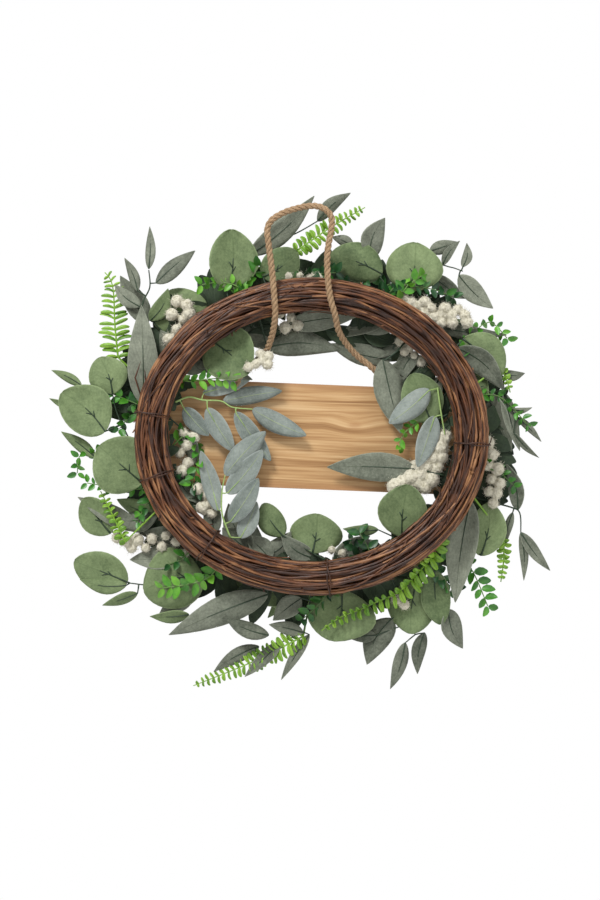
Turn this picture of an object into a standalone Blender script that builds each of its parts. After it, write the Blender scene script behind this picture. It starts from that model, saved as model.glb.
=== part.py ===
"""Hanging door wreath: a twisted vine ring, a board hung in it on a rope, and artificial foliage.

Metres, +Z up. The wreath hangs from the origin, the inside of the top of its rope loop. Its back,
which faces the door, faces -Y, and the board's painted side faces +Y.
"""

import math

import bmesh
import bpy
from mathutils import Matrix, Vector

MM = 0.001

# Vine ring: a slightly oval hoop of canes. The widths are to the outside of the canes.
RING_WIDTH = 0.348
RING_HEIGHT = 0.311
RING_TUBE = 0.033
CANE_DIAMETER = 0.0036
CANE_TURNS = 3
CANES = 2
BINDING_DIAMETER = 0.0022
BINDING_ANGLES = (171.0, 276.0)
GAP = 0.0003

# Sign board, hung a little askew in front of the ring.
SIGN_WIDTH = 0.300
SIGN_HEIGHT = 0.104
SIGN_THICKNESS = 0.010
SIGN_TILT = math.radians(2.3)
SIGN_GAP = 0.0095
SIGN_EDGE_RADIUS = 0.0012
HOLE_DIAMETER = 0.0090
HOLE_SPACING = 0.150
HOLE_BELOW_EDGE = 0.010

# Rope and the height it hangs the ring at.
ROPE_DIAMETER = 0.006
HOOK_TO_CENTRE = 0.221
KNOT_WIDTH = 0.016
KNOT_DEPTH = 0.011

# Foliage. The plan is drawn for a ring of this middle-line size and half thickness, and moves out
# and forward with the ring.
PLAN_HALF_WIDTH = 157.5
PLAN_HALF_HEIGHT = 139.0
PLAN_HALF_TUBE = 16.5
LEAF_THICKNESS = 0.0008
STEM_DIAMETER = 0.0016
PETIOLE_DIAMETER = 0.0012
FLUFF_DIAMETER = 0.010

HALF_TUBE = RING_TUBE / 2
MID_HALF_WIDTH = RING_WIDTH / 2 - HALF_TUBE
MID_HALF_HEIGHT = RING_HEIGHT / 2 - HALF_TUBE
RING_DEPTH = ROPE_DIAMETER / 2 + 0.001 + HALF_TUBE
CENTRE = Vector((0, RING_DEPTH, -HOOK_TO_CENTRE))
SIGN_BACK = RING_DEPTH + HALF_TUBE + SIGN_GAP

for old in list(bpy.data.objects):
    bpy.data.objects.remove(old)


def collection(name, hidden=False):
    made = bpy.data.collections.new(name)
    made.hide_render = hidden
    bpy.context.scene.collection.children.link(made)
    return made


PARTS = collection("door_wreath")
CUTTERS = collection("cutters", hidden=True)


def material(name, colour, roughness, metallic=0.0):
    made = bpy.data.materials.new(name)
    made.use_nodes = True
    shader = made.node_tree.nodes["Principled BSDF"]
    shader.inputs["Base Color"].default_value = (*colour, 1)
    shader.inputs["Roughness"].default_value = roughness
    shader.inputs["Metallic"].default_value = metallic
    return made


VINE = material("vine", (0.20, 0.085, 0.04), 0.75)
BINDING = material("binding", (0.10, 0.04, 0.02), 0.7)
PINE = material("pine", (0.56, 0.30, 0.12), 0.55)
JUTE = material("jute", (0.45, 0.27, 0.15), 0.9)
SAGE = material("sage_leaf", (0.17, 0.24, 0.12), 0.65)
GREY_LEAF = material("grey_leaf", (0.16, 0.19, 0.15), 0.65)
BLUE_LEAF = material("blue_leaf", (0.24, 0.30, 0.29), 0.7)
FERN = material("fern", (0.13, 0.38, 0.04), 0.5)
BOXWOOD = material("boxwood", (0.05, 0.20, 0.03), 0.5)
CREAM = material("cream_fluff", (0.72, 0.68, 0.54), 0.95)


def add(name, data, finish, into=PARTS):
    """A new object of this mesh or curve, in a collection, with its finish."""
    data.materials.append(finish)
    made = bpy.data.objects.new(name, data)
    into.objects.link(made)
    return made


def tube(name, points, diameter, finish, sides=6, cyclic=False, into=PARTS):
    """A round bar along a polyline of points, with closed ends."""
    curve = bpy.data.curves.new(name, "CURVE")
    curve.dimensions = "3D"
    curve.bevel_depth = diameter / 2
    curve.bevel_resolution = sides // 2 - 2
    curve.use_fill_caps = True
    line = curve.splines.new("POLY")
    line.points.add(len(points) - 1)
    line.use_cyclic_u = cyclic
    for point, place in zip(line.points, points):
        point.co = (*place, 1)
    return add(name, curve, finish, into)


def as_mesh(source):
    """The object as a mesh object with its caps welded on. The curve is removed."""
    graph = bpy.context.evaluated_depsgraph_get()
    data = bpy.data.meshes.new_from_object(source.evaluated_get(graph))
    work = bmesh.new()
    work.from_mesh(data)
    bmesh.ops.remove_doubles(work, verts=work.verts, dist=1e-6)
    bmesh.ops.recalc_face_normals(work, faces=work.faces)
    work.to_mesh(data)
    work.free()
    name, place, into = source.name, source.matrix_world.copy(), source.users_collection[0]
    bpy.data.objects.remove(source)
    made = bpy.data.objects.new(name, data)
    made.matrix_world = place
    into.objects.link(made)
    return made


def ring_point(angle, half_width=MID_HALF_WIDTH, half_height=MID_HALF_HEIGHT):
    """The ring's middle line at an angle from +X, in the ring's own plane."""
    return Vector((half_width * math.cos(angle), 0, half_height * math.sin(angle)))


def outward(angle):
    """The ring's outward direction at an angle, square to its middle line."""
    return Vector((MID_HALF_HEIGHT * math.cos(angle), 0, MID_HALF_WIDTH * math.sin(angle))).normalized()


def around_tube(angle, turn, radius):
    """A point on a circle round the ring's middle line."""
    away = outward(angle) * math.cos(turn) + Vector((0, math.sin(turn), 0))
    return CENTRE + ring_point(angle) + away * radius


# The ring: a core bundle, canes wound over it, and bindings over them.
CORE_RADIUS = HALF_TUBE - CANE_DIAMETER - GAP
CORE_POINTS = 56
CANE_POINTS = 72
core = tube(
    "vine_core",
    [CENTRE + ring_point(math.tau * i / CORE_POINTS) for i in range(CORE_POINTS)],
    2 * CORE_RADIUS,
    VINE,
    sides=10,
    cyclic=True,
)
for number in range(CANES):
    route = []
    for i in range(CANE_POINTS):
        share = math.tau * i / CANE_POINTS
        turn = CANE_TURNS * share + math.tau * number / CANES
        route.append(around_tube(share, turn, CORE_RADIUS + CANE_DIAMETER / 2 + 2 * GAP))
    tube(f"vine_cane_{number + 1}", route, CANE_DIAMETER, VINE, cyclic=True)
for number, angle in enumerate(BINDING_ANGLES, 1):
    reach = HALF_TUBE + BINDING_DIAMETER / 2 + 3 * GAP
    loop = [around_tube(math.radians(angle), math.tau * i / 16, reach) for i in range(16)]
    tube(f"binding_vine_{number}", loop, BINDING_DIAMETER, BINDING, cyclic=True)


# The board, with its two rope holes. Its own frame is centred on its back face.
BOARD_FRAME = Matrix.Translation((0, SIGN_BACK, -HOOK_TO_CENTRE)) @ Matrix.Rotation(SIGN_TILT, 4, "Y")
HOLE_HEIGHT = SIGN_HEIGHT / 2 - HOLE_BELOW_EDGE
bpy.ops.mesh.primitive_cube_add(size=1)
board = bpy.context.object
board.name = "sign_board"
board.data.transform(Matrix.Diagonal((SIGN_WIDTH, SIGN_THICKNESS, SIGN_HEIGHT, 1)))
board.data.transform(Matrix.Translation((0, SIGN_THICKNESS / 2, 0)))
board.data.materials.append(PINE)
bpy.context.collection.objects.unlink(board)
PARTS.objects.link(board)
hole_places = [Vector((side * HOLE_SPACING / 2, 0, HOLE_HEIGHT)) for side in (-1, 1)]
axis_centre = BOARD_FRAME @ Vector((0, 0, HOLE_HEIGHT))
to_axis = BOARD_FRAME.inverted() @ axis_centre
board.data.transform(Matrix.Translation(-to_axis))
board.matrix_world = Matrix.Translation(axis_centre) @ BOARD_FRAME.to_3x3().to_4x4()
for place in hole_places:
    bpy.ops.mesh.primitive_cylinder_add(
        vertices=20, radius=HOLE_DIAMETER / 2, depth=3 * SIGN_THICKNESS
    )
    drill = bpy.context.object
    drill.name = "drill"
    drill.matrix_world = (
        BOARD_FRAME
        @ Matrix.Translation(place + Vector((0, SIGN_THICKNESS / 2, 0)))
        @ Matrix.Rotation(math.pi / 2, 4, "X")
    )
    bpy.context.collection.objects.unlink(drill)
    CUTTERS.objects.link(drill)
    drill.hide_render = True
    drill.display_type = "WIRE"
    cut = board.modifiers.new("rope_hole", "BOOLEAN")
    cut.operation = "DIFFERENCE"
    cut.solver = "EXACT"
    cut.object = drill
rounding = board.modifiers.new("worn_edges", "BEVEL")
rounding.width = SIGN_EDGE_RADIUS
rounding.segments = 1
rounding.limit_method = "ANGLE"
rounding.angle_limit = math.radians(60)
rounding.use_clamp_overlap = True


# The rope. Its route runs from the left hole up over the ring's back, round the loop that the hook
# holds, and down to the right hole: x, y, z in millimetres from the origin.
ROPE_ROUTE = (
    (-73.3, 46.2, -176.0),
    (-73.5, 41.5, -175.4),
    (-73.2, 37.6, -171.0),
    (-72.0, 36.0, -164.5),
    (-66.0, 35.5, -155.5),
    (-56.0, 34.5, -147.0),
    (-45.5, 30.5, -138.5),
    (-41.0, 22.5, -128.5),
    (-37.5, 12.5, -117.0),
    (-35.4, 3.6, -102.0),
    (-36.0, 0.6, -88.0),
    (-37.0, 0.0, -76.0),
    (-38.0, 0.0, -65.0),
    (-39.6, 0.0, -51.0),
    (-42.2, 0.0, -31.0),
    (-43.0, 0.0, -19.5),
    (-38.5, 0.0, -10.5),
    (-27.0, 0.0, -3.5),
    (-13.8, 0.0, 0.8),
    (-1.2, 0.0, 3.0),
    (9.0, 0.0, 1.8),
    (16.2, 0.0, -3.0),
    (19.6, 0.0, -9.6),
    (19.2, 0.0, -19.5),
    (16.6, 0.0, -33.5),
    (15.2, 0.0, -47.0),
    (15.6, 0.0, -65.0),
    (16.6, 0.0, -76.0),
    (18.6, 0.6, -88.0),
    (22.6, 3.6, -102.0),
    (26.2, 12.5, -117.0),
    (33.0, 22.5, -128.5),
    (44.4, 30.5, -141.0),
    (56.0, 34.5, -150.0),
    (65.5, 35.8, -158.5),
    (73.0, 36.5, -168.5),
    (76.2, 38.0, -176.5),
    (76.8, 41.5, -181.2),
    (76.6, 46.2, -182.0),
)
STRAND_END_GAP = 0.003  # clear of the board as it swings
LOOP_STARTS = 12
LOOP_ENDS = 26
ROPE_STEP = 2.5 * ROPE_DIAMETER
STEPS_A_SPAN = 20


def smooth_line(points):
    """Closely spaced points on the smooth curve through these points."""
    line = []
    last = len(points) - 1
    for i in range(last):
        before, start, end, after = (
            Vector(points[min(max(j, 0), last)]) * MM for j in (i - 1, i, i + 1, i + 2)
        )
        for part in range(STEPS_A_SPAN):
            t = part / STEPS_A_SPAN
            square = (2 * before - 5 * start + 4 * end - after) * t**2
            cube = (3 * start - before - 3 * end + after) * t**3
            line.append(0.5 * (2 * start + (end - before) * t + square + cube))
    line.append(Vector(points[-1]) * MM)
    return line


def spaced(line, step, trim_start, trim_end):
    """Evenly spaced points along a line of points, less a trim at each end."""
    along = [0.0]
    for one, two in zip(line, line[1:]):
        along.append(along[-1] + (two - one).length)
    start, end = trim_start, along[-1] - trim_end
    spaces = round((end - start) / step)
    route, at = [], 0
    for i in range(spaces + 1):
        wanted = start + (end - start) * i / spaces
        while at < len(line) - 2 and along[at + 1] < wanted:
            at += 1
        share = (wanted - along[at]) / (along[at + 1] - along[at])
        route.append(line[at].lerp(line[at + 1], share))
    return route


rope_line = smooth_line(ROPE_ROUTE)
for name, first, last in (
    ("rope_strand_left", 0, LOOP_STARTS),
    ("hanger_loop", LOOP_STARTS, LOOP_ENDS),
    ("rope_strand_right", LOOP_ENDS, len(ROPE_ROUTE) - 1),
):
    stretch = rope_line[first * STEPS_A_SPAN : last * STEPS_A_SPAN + 1]
    trim_start = GAP / 2 if first else STRAND_END_GAP
    trim_end = GAP / 2 if last < len(ROPE_ROUTE) - 1 else STRAND_END_GAP
    tube(name, spaced(stretch, ROPE_STEP, trim_start, trim_end), ROPE_DIAMETER, JUTE, 8)

# A knot on the board's front at each hole, with the stub of rope that fills the hole's front half.
for side, place in zip(("left", "right"), hole_places):
    bpy.ops.mesh.primitive_uv_sphere_add(segments=12, ring_count=8, radius=0.5)
    knot = bpy.context.object
    knot.name = f"rope_knot_{side}"
    knot.data.transform(Matrix.Diagonal((KNOT_WIDTH, KNOT_DEPTH, KNOT_WIDTH, 1)))
    knot.data.transform(Matrix.Translation(place + Vector((0, SIGN_THICKNESS + GAP + KNOT_DEPTH / 2, 0))))
    knot.data.transform(Matrix.Translation(-to_axis))
    knot.matrix_world = board.matrix_world
    knot.data.materials.append(JUTE)
    knot.data.shade_smooth()
    bpy.context.collection.objects.unlink(knot)
    PARTS.objects.link(knot)
    stub = as_mesh(
        tube(
            f"rope_stub_{side}",
            [
                BOARD_FRAME @ (place + Vector((0, SIGN_THICKNESS / 2, 0))),
                BOARD_FRAME @ (place + Vector((0, SIGN_THICKNESS + KNOT_DEPTH / 2, 0))),
            ],
            ROPE_DIAMETER,
            JUTE,
            8,
            into=CUTTERS,
        )
    )
    stub.hide_render = True
    stub.display_type = "WIRE"
    join = knot.modifiers.new("stub", "BOOLEAN")
    join.operation = "UNION"
    join.solver = "EXACT"
    join.object = stub


# Foliage. Outlines are for a leaf one long and one wide, from its base at 0 to its tip at 1.
OUTLINES = {
    "round": ((0, 0), (0.12, 0.27), (0.33, 0.46), (0.58, 0.5), (0.84, 0.33), (1, 0)),
    "willow": ((0, 0), (0.14, 0.28), (0.36, 0.5), (0.62, 0.42), (0.84, 0.2), (1, 0)),
    "frond": ((0, 0), (0.1, 0.42), (0.45, 0.5), (0.8, 0.3), (1, 0)),
}


def blank_leaf(outline):
    """A flat leaf of unit size on X, cut from its outline."""
    curve = bpy.data.curves.new("blank", "CURVE")
    curve.dimensions = "2D"
    curve.fill_mode = "BOTH"
    curve.extrude = 0.5
    edge = list(outline) + [(x, -y) for x, y in reversed(outline[1:-1])]
    line = curve.splines.new("POLY")
    line.points.add(len(edge) - 1)
    line.use_cyclic_u = True
    for point, (x, y) in zip(line.points, edge):
        point.co = (x, y, 0, 1)
    made = as_mesh(add("blank", curve, SAGE, CUTTERS))
    data = made.data
    bpy.data.objects.remove(made)
    return data


BLANKS = {kind: blank_leaf(outline) for kind, outline in OUTLINES.items()}
SPRAYS = []


def plan_reach(place):
    """How far out a place in the plan is: 1 on the ring's middle line."""
    return math.hypot(place[0] / PLAN_HALF_WIDTH, place[1] / PLAN_HALF_HEIGHT)


def plan_shift(stem):
    """How far a spray moves when the ring isn't the plan's: as far as the ring's surface at its foot."""
    angle = math.atan2(stem[0][1] / PLAN_HALF_HEIGHT, stem[0][0] / PLAN_HALF_WIDTH)
    plan = ring_point(angle, PLAN_HALF_WIDTH * MM, PLAN_HALF_HEIGHT * MM)
    growth = HALF_TUBE - PLAN_HALF_TUBE * MM
    sideways = growth if plan_reach(stem[-1]) > plan_reach(stem[0]) else -growth
    forward = growth if stem[0][2] > PLAN_HALF_TUBE else 0
    return CENTRE + ring_point(angle) - plan + Vector((0, forward, 0)) + outward(angle) * sideways


def on_plan(place, shift):
    """A place in the plan, x and z from the ring's centre and depth forward of its middle, in mm."""
    x, z, depth = place
    return Vector((x, depth, z)) * MM + shift


def leaf(kind, base, tip, width, lean, into):
    """One leaf from base to tip. It leans a little about its own length, so no two are in a plane."""
    along = tip - base
    length = along.length
    side = Vector((0, 1, 0)).cross(along).normalized()
    side = Matrix.Rotation(lean, 3, along) @ side
    up = along.normalized().cross(side)
    frame = Matrix.Translation(base) @ Matrix((along.normalized(), side, up)).transposed().to_4x4()
    data = BLANKS[kind].copy()
    data.transform(frame @ Matrix.Diagonal((length, width, LEAF_THICKNESS, 1)))
    made = bpy.data.objects.new(kind, data)
    into.objects.link(made)


def ball(place, diameter, into):
    """One seed head."""
    data = bpy.data.meshes.new("ball")
    work = bmesh.new()
    bmesh.ops.create_icosphere(work, subdivisions=1, radius=diameter / 2)
    bmesh.ops.translate(work, verts=work.verts, vec=place)
    work.to_mesh(data)
    work.free()
    into.objects.link(bpy.data.objects.new("ball", data))


def nearest_on(route, place):
    """The point of a polyline that is nearest to a place."""
    best = None
    for one, two in zip(route, route[1:]):
        along = two - one
        share = min(1, max(0, (place - one).dot(along) / along.length_squared))
        point = one + along * share
        if best is None or (point - place).length < (best - place).length:
            best = point
    return best


def spray(name, finish, stem, leaves=(), balls=()):
    """One spray: its stem, from its foot in the ring, joined with its leaves or seed heads."""
    shift = plan_shift(stem)
    route = [on_plan(place, shift) for place in stem]
    body = as_mesh(tube(name, route, STEM_DIAMETER, finish))
    pieces = bpy.data.collections.new(f"{name}_pieces")
    CUTTERS.children.link(pieces)
    for number, (kind, base, tip, width) in enumerate(leaves):
        base, tip = on_plan(base, shift), on_plan(tip, shift)
        leaf(kind, base, tip, width * MM, math.radians(4 if number % 2 else -4), pieces)
        inside = base.lerp(tip, 0.22)
        joint = nearest_on(route, base)
        if (joint - base).length < STEM_DIAMETER:
            joint = joint - (inside - joint).normalized() * STEM_DIAMETER / 4
        as_mesh(tube("petiole", [joint, inside], PETIOLE_DIAMETER, finish, 4, into=pieces))
    for place in balls:
        centre = on_plan(place, shift)
        ball(centre, FLUFF_DIAMETER, pieces)
        joint = nearest_on(route, centre)
        if (joint - centre).length > FLUFF_DIAMETER / 3:
            as_mesh(tube("petiole", [joint, centre], PETIOLE_DIAMETER, finish, 4, into=pieces))
    for piece in pieces.objects:
        piece.hide_render = True
        piece.display_type = "WIRE"
    SPRAYS.append((body, pieces))


# The plan, clockwise from the top left. A stem's first point is its foot, in the ring. Places are
# x, z and depth; a leaf is its kind, base, tip and width; all in millimetres.
spray("willow_sprig_top_left", GREY_LEAF,
      ((-146, 52, 18), (-165, 80, 26), (-169, 110, 26), (-167, 132, 25), (-160, 148, 25), (-161, 165, 25)),
      (("willow", (-161, 166, 25), (-160, 208, 24), 11), ("willow", (-154, 152, 25), (-115, 184, 23), 20),
       ("willow", (-172, 144, 25), (-185, 177, 24), 11), ("willow", (-170, 129, 28), (-195, 151, 29), 16)))
spray("long_leaf_spray_left", GREY_LEAF,
      ((-157, 8, 18), (-166, 31, 20)), (("willow", (-166, 31, 20), (-168, 130, 20), 31),))
spray("round_leaf_spray_top_left", SAGE,
      ((-128, 80, 18), (-142, 98, 32), (-157, 114, 32)),
      (("round", (-157, 114, 33), (-104, 133, 32), 46), ("willow", (-160, 115, 30), (-142, 147, 28.5), 18)))
spray("fluff_sprig_top_left", CREAM,
      ((-114, 96, 18), (-125, 106, 23.5), (-133, 118, 24), (-134, 132, 24)),
      balls=((-133, 134, 24), (-123, 130, 24), (-138, 121, 24), (-127, 116, 24), (-133, 106, 24)))
spray("round_leaf_top_left", SAGE,
      ((-79, 120, 18), (-84, 145, 22)), (("round", (-84, 145, 22), (-91, 202, 20), 45),))
spray("willow_spray_top", GREY_LEAF,
      ((-57, 129, 18), (-60, 150, 31), (-62, 180, 33), (-49, 193, 34), (-20, 200, 34), (6, 214, 33)),
      (("willow", (-62, 180, 33), (3, 239, 30), 23), ("willow", (-49, 193, 36), (-19, 226, 37), 16),
       ("willow", (6, 214, 33), (39, 242, 31), 15)))
spray("fern_frond_top", FERN,
      ((-26, 137, 18), (-22, 162, 27), (-15, 184, 27)),
      (("frond", (-15, 184, 27), (53, 227, 26), 19), ("frond", (-22, 160, 27), (-52, 172, 27), 15)))
spray("round_leaf_pair_top_right", SAGE,
      ((80, 120, 18), (78, 140, 22), (68, 158, 22)),
      (("round", (68, 158, 22), (20, 178, 21), 32), ("round", (88, 144, 22), (98, 190, 20), 50)))
spray("willow_pair_top_right", GREY_LEAF,
      ((48, 132, 18), (52, 160, 28), (61, 178, 29)),
      (("willow", (61, 178, 29), (71, 213, 29), 24), ("willow", (42, 187, 29), (20, 198, 29), 12)))
spray("willow_sprig_top_right", GREY_LEAF,
      ((96, 110, 18), (100, 117, 33), (112, 140, 33), (124, 168, 29), (138, 168, 28), (150, 164, 28)),
      (("willow", (124, 179, 28), (145, 193, 28), 12), ("willow", (130, 170, 28), (147, 194, 26), 10),
       ("willow", (150, 168, 28), (154, 192, 28), 11), ("willow", (146, 160, 28), (180, 127, 27), 21),
       ("willow", (124, 156, 30), (150, 139, 32), 13)))
spray("fluff_sprig_top_right", CREAM,
      ((120, 89, 18), (104, 122, 24), (122, 131, 24), (140, 126, 24), (153, 119, 24)),
      balls=((93, 133, 24), (104, 131, 24), (115, 125, 24), (120, 137, 24), (131, 124, 24),
             (134, 135, 24), (146, 128, 24), (155, 121, 24)))
spray("leaf_spray_right_high", SAGE,
      ((131, 77, 18), (143, 89, 20), (150, 97, 24)),
      (("round", (150, 97, 24), (189, 62, 23), 40), ("willow", (144, 88, 20), (188, 48, 19), 24)))
spray("long_leaf_right_high", GREY_LEAF,
      ((136, 69, 18), (126, 98, 32), (126, 109, 32)), (("willow", (124, 109, 32), (194, 101, 31), 14),))
spray("thin_leaf_spray_right", GREY_LEAF,
      ((150, 41, 18), (170, 50, 29), (189, 60, 31), (191, 48, 31), (197, 31, 31), (202, 20, 31), (201, 4, 31)),
      (("willow", (190, 63, 31), (212, 63, 31), 11), ("willow", (198, 27, 31), (219, 29, 31), 7),
       ("willow", (203, 20, 31), (228, -5, 30), 8), ("willow", (191, 44, 32), (207, -14, 33), 16),
       ("willow", (201, 4, 31), (226, -21, 30), 7), ("willow", (173, 46, 33), (199, -15, 36), 28)))
spray("fluff_sprig_right", CREAM,
      ((156.5, -9, 18), (172, -12, 24), (178, -35, 24), (185, -55, 24)),
      balls=((173, -10, 24), (178, -22, 24), (175, -33, 24), (184, -42, 24), (180, -52, 24), (188, -58, 24)))
spray("round_leaf_right_low", SAGE,
      ((135, -72, 18), (158, -105, 27), (168, -118, 27)), (("round", (168, -118, 27), (177, -65, 26), 33),))
spray("willow_sprig_right_low", GREY_LEAF,
      ((146, -52, 18), (168, -62, 33), (198, -70, 33), (207, -76, 33), (208, -95, 33)),
      (("willow", (205, -73, 33), (194, -27, 33), 16), ("willow", (200, -75, 33), (193, -107, 33), 9),
       ("willow", (208, -95, 33), (237, -133, 32), 13), ("willow", (208, -95, 33), (211, -143, 34), 9),
       ("frond", (192, -74, 34), (188, -142, 36), 12)))
spray("long_leaf_spray_bottom_right", GREY_LEAF,
      ((152, -36, 18), (157, -63, 20)), (("willow", (157, -63, 20), (142, -164, 19), 31),))
spray("boxwood_pick_bottom_right", BOXWOOD,
      ((118, -92, 18), (140, -120, 31), (158, -130, 32), (175, -168, 32)),
      (("round", (164, -143, 32), (154, -150, 32), 8), ("round", (165, -146, 32), (177, -148, 32), 8),
       ("round", (170, -158, 32), (161, -164, 32), 8), ("round", (170, -158, 32), (180, -160, 32), 8)))
spray("fern_frond_bottom_right", FERN,
      ((124, -85, 18), (128, -94, 17.5), (102, -128, 15), (77, -154, 14)),
      (("frond", (128, -94, 17.5), (77, -154, 14), 20), ("frond", (80, -151, 14), (10, -191, 12), 20)))
spray("round_leaf_pair_bottom_right", SAGE,
      ((95, -110, 18), (104, -143, 21)),
      (("round", (104, -143, 21), (98, -195, 20), 44), ("round", (122, -133, 22), (128, -186, 23.5), 27)))
spray("willow_sprig_bottom_right", GREY_LEAF,
      ((72, -124, 18), (84, -150, 27), (96, -185, 27), (103, -196, 27)),
      (("willow", (79, -182, 28), (55, -224, 28), 24), ("willow", (64, -197, 28), (38, -200, 28), 13),
       ("willow", (93, -204, 27), (78, -250, 26), 16), ("willow", (112, -194, 27), (105, -235, 26), 15),
       ("willow", (134, -182, 28), (149, -208, 28), 17)))
spray("round_leaf_bottom", SAGE,
      ((35, -135, 18), (30, -151, 21)), (("round", (30, -151, 21), (20, -202, 19.5), 64),))
spray("fern_frond_bottom", FERN,
      ((2, -139, 18), (-2, -165, 30), (-8, -198, 30)),
      (("frond", (-8, -198, 30), (-117, -247, 30), 22), ("willow", (-52, -208, 30), (-97, -233, 26), 14),
       ("willow", (-30, -204, 30), (-66, -238, 26), 14), ("willow", (-2, -196, 30), (-30, -241, 27), 11),
       ("willow", (-10, -160, 27), (-38, -182, 25), 20)))
spray("long_leaf_spray_bottom_left", GREY_LEAF,
      ((-45, -133, 18), (-43, -156, 20)),
      (("willow", (-43, -156, 20), (-141, -196, 19), 30), ("willow", (-42, -196, 17), (-86, -177, 15), 18)))
spray("round_leaf_bottom_left", SAGE,
      ((-93, -112, 18), (-107, -139, 21)),
      (("round", (-107, -139, 21), (-166, -152, 20), 56), ("willow", (-121, -176, 24), (-160, -178, 25), 15)))
spray("round_leaf_spray_left_low", SAGE,
      ((-104, -104, 18), (-118, -128, 27), (-150, -146, 27), (-180, -145, 25)),
      (("round", (-182, -144, 25), (-235, -123, 25), 36), ("willow", (-183, -147, 22), (-229, -141, 20), 16),
       ("willow", (-172, -155, 25), (-207, -167, 25), 13)))
spray("fluff_sprig_left_low", CREAM,
      ((-127, -82, 18), (-140, -100, 24), (-160, -104, 24), (-184, -103, 24)),
      balls=((-134, -104, 24), (-144, -97, 24), (-148, -110, 24), (-158, -100, 24), (-164, -112, 24),
             (-172, -101, 24), (-184, -103, 24)))
spray("round_leaf_pair_left_low", SAGE,
      ((-145, -56, 18), (-155, -77, 30), (-180, -88, 31), (-198, -95, 29)),
      (("round", (-199, -96, 29), (-226, -61, 28), 31), ("willow", (-157, -76, 31), (-193, -62, 30), 20)))
spray("round_leaf_left", SAGE,
      ((-151, -38, 18), (-167, -46, 21)),
      (("round", (-167, -46, 21), (-210, -9, 20), 56), ("willow", (-214, -20, 26), (-248, 5, 27), 13)))
spray("round_leaf_pair_left", SAGE,
      ((-157, -14, 18), (-175, -12, 31), (-182, 0, 31), (-193, 24, 31), (-197, 41, 30)),
      (("round", (-200, 4, 24), (-241, 42, 23), 46), ("round", (-197, 42, 30), (-210, 78, 30), 34),
       ("willow", (-228, 51, 31), (-258, 66, 31), 10), ("willow", (-236, 29, 30), (-260, 38, 31), 8)))
spray("fern_frond_left", FERN,
      ((-151, 33, 18), (-172, 60, 33), (-192, 79, 34)), (("frond", (-192, 79, 34), (-206, 162, 34), 31),))

# Leaves that reach into the ring, behind the board as it is seen from the front.
spray("round_leaf_inner_left", SAGE,
      ((-112, 92, 18), (-101, 97, 19)), (("round", (-101, 95, 18.5), (-71, 55, 4.5), 52),))
spray("leaf_pair_inner_top", GREY_LEAF,
      ((-52, 119, 17.8), (-48, 105, 19.5), (-44, 88, 20)),
      (("willow", (-23, 110, 19.5), (46, 119, 18.6), 23), ("willow", (-44, 88, 20), (28, 85, 19.5), 26)))
spray("dark_leaf_inner_right", GREY_LEAF,
      ((86, 103, 18), (79, 82, 22.5)), (("willow", (79, 76, 22.5), (17, 92, 24), 22),))
spray("grey_leaf_inner_right", GREY_LEAF,
      ((92, 93, 16.5), (86, 84, 10), (76, 74, 8)), (("willow", (76, 74, 8), (91, 8, 9), 26),))
spray("round_leaf_inner_right", SAGE,
      ((134, 22, 14), (118, 14, 15.5)), (("round", (118, 14, 15.5), (99, 62, 14), 38),))
spray("light_sprig_inner_right", BLUE_LEAF,
      ((124, 48, 8), (127, 26, 7), (131, 2, 7)),
      (("willow", (116, 46, 6), (76, 13, 4), 23), ("willow", (121, 20, 6), (104, -30, 4), 21)))
spray("long_leaf_inner_right_low", GREY_LEAF,
      ((130, -38, 9), (100, -31, 9)), (("willow", (99, -31, 9), (15, -31, 13), 29),))
spray("cream_sprig_inner_right", CREAM,
      ((138, -30, 18), (122, -28, 18.5), (100, -38, 18.5)),
      balls=((125, -20, 18.5), (120, -30, 18.5), (110, -26, 18.5), (108, -38, 18.5), (98, -36, 18.5)))
spray("round_leaf_inner_right_low", SAGE,
      ((80, -112, 17.5), (87, -97, 19)),
      (("round", (87, -96, 19), (107, -56, 18.5), 38), ("willow", (66, -92, 20), (31, -91, 20), 11)))
spray("round_leaf_inner_bottom", SAGE,
      ((26, -128, 17), (1, -115, 18.5), (-20, -103, 20)),
      (("round", (1, -115, 18.5), (6, -76, 17.5), 48), ("round", (-28, -98, 20), (-48, -66, 20), 24)))
spray("light_sprig_inner_left_low", BLUE_LEAF,
      ((-80, -99, 10), (-88, -76, 10), (-88, -54, 10), (-85, -38, 9)),
      (("willow", (-92, -73, 10), (-109, -14, 9), 18), ("willow", (-85, -38, 9), (-45, 5, 6), 22),
       ("willow", (-83, -56, 11), (-48, -13, 10), 22), ("willow", (-80, -84, 10), (-52, -41, 8), 21),
       ("willow", (-70, -100, 10), (-54, -64, 9), 19)))
spray("light_sprig_inner_left_high", BLUE_LEAF,
      ((-134, 34, 13), (-121, 39, 14), (-107, 36, 14), (-89, 35, 14), (-78, 29, 14), (-58, 27, 14)),
      (("willow", (-126, 28, 14), (-101, 1, 14), 18), ("willow", (-103, 28, 14), (-76, -15, 14), 20),
       ("willow", (-75, 24, 14), (-40, -24, 15), 19), ("willow", (-58, 27, 14), (-5, 1, 13), 20),
       ("willow", (-87, 35, 14), (-29, 45, 15), 18)))
spray("fluff_sprig_inner_left", CREAM,
      ((-143, -6, 18), (-128, -4, 20.3), (-124, -24, 20.3)),
      balls=((-126, 4, 20.3), (-122, -8, 20.3), (-130, -16, 20.3), (-122, -26, 20.3)))

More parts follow.
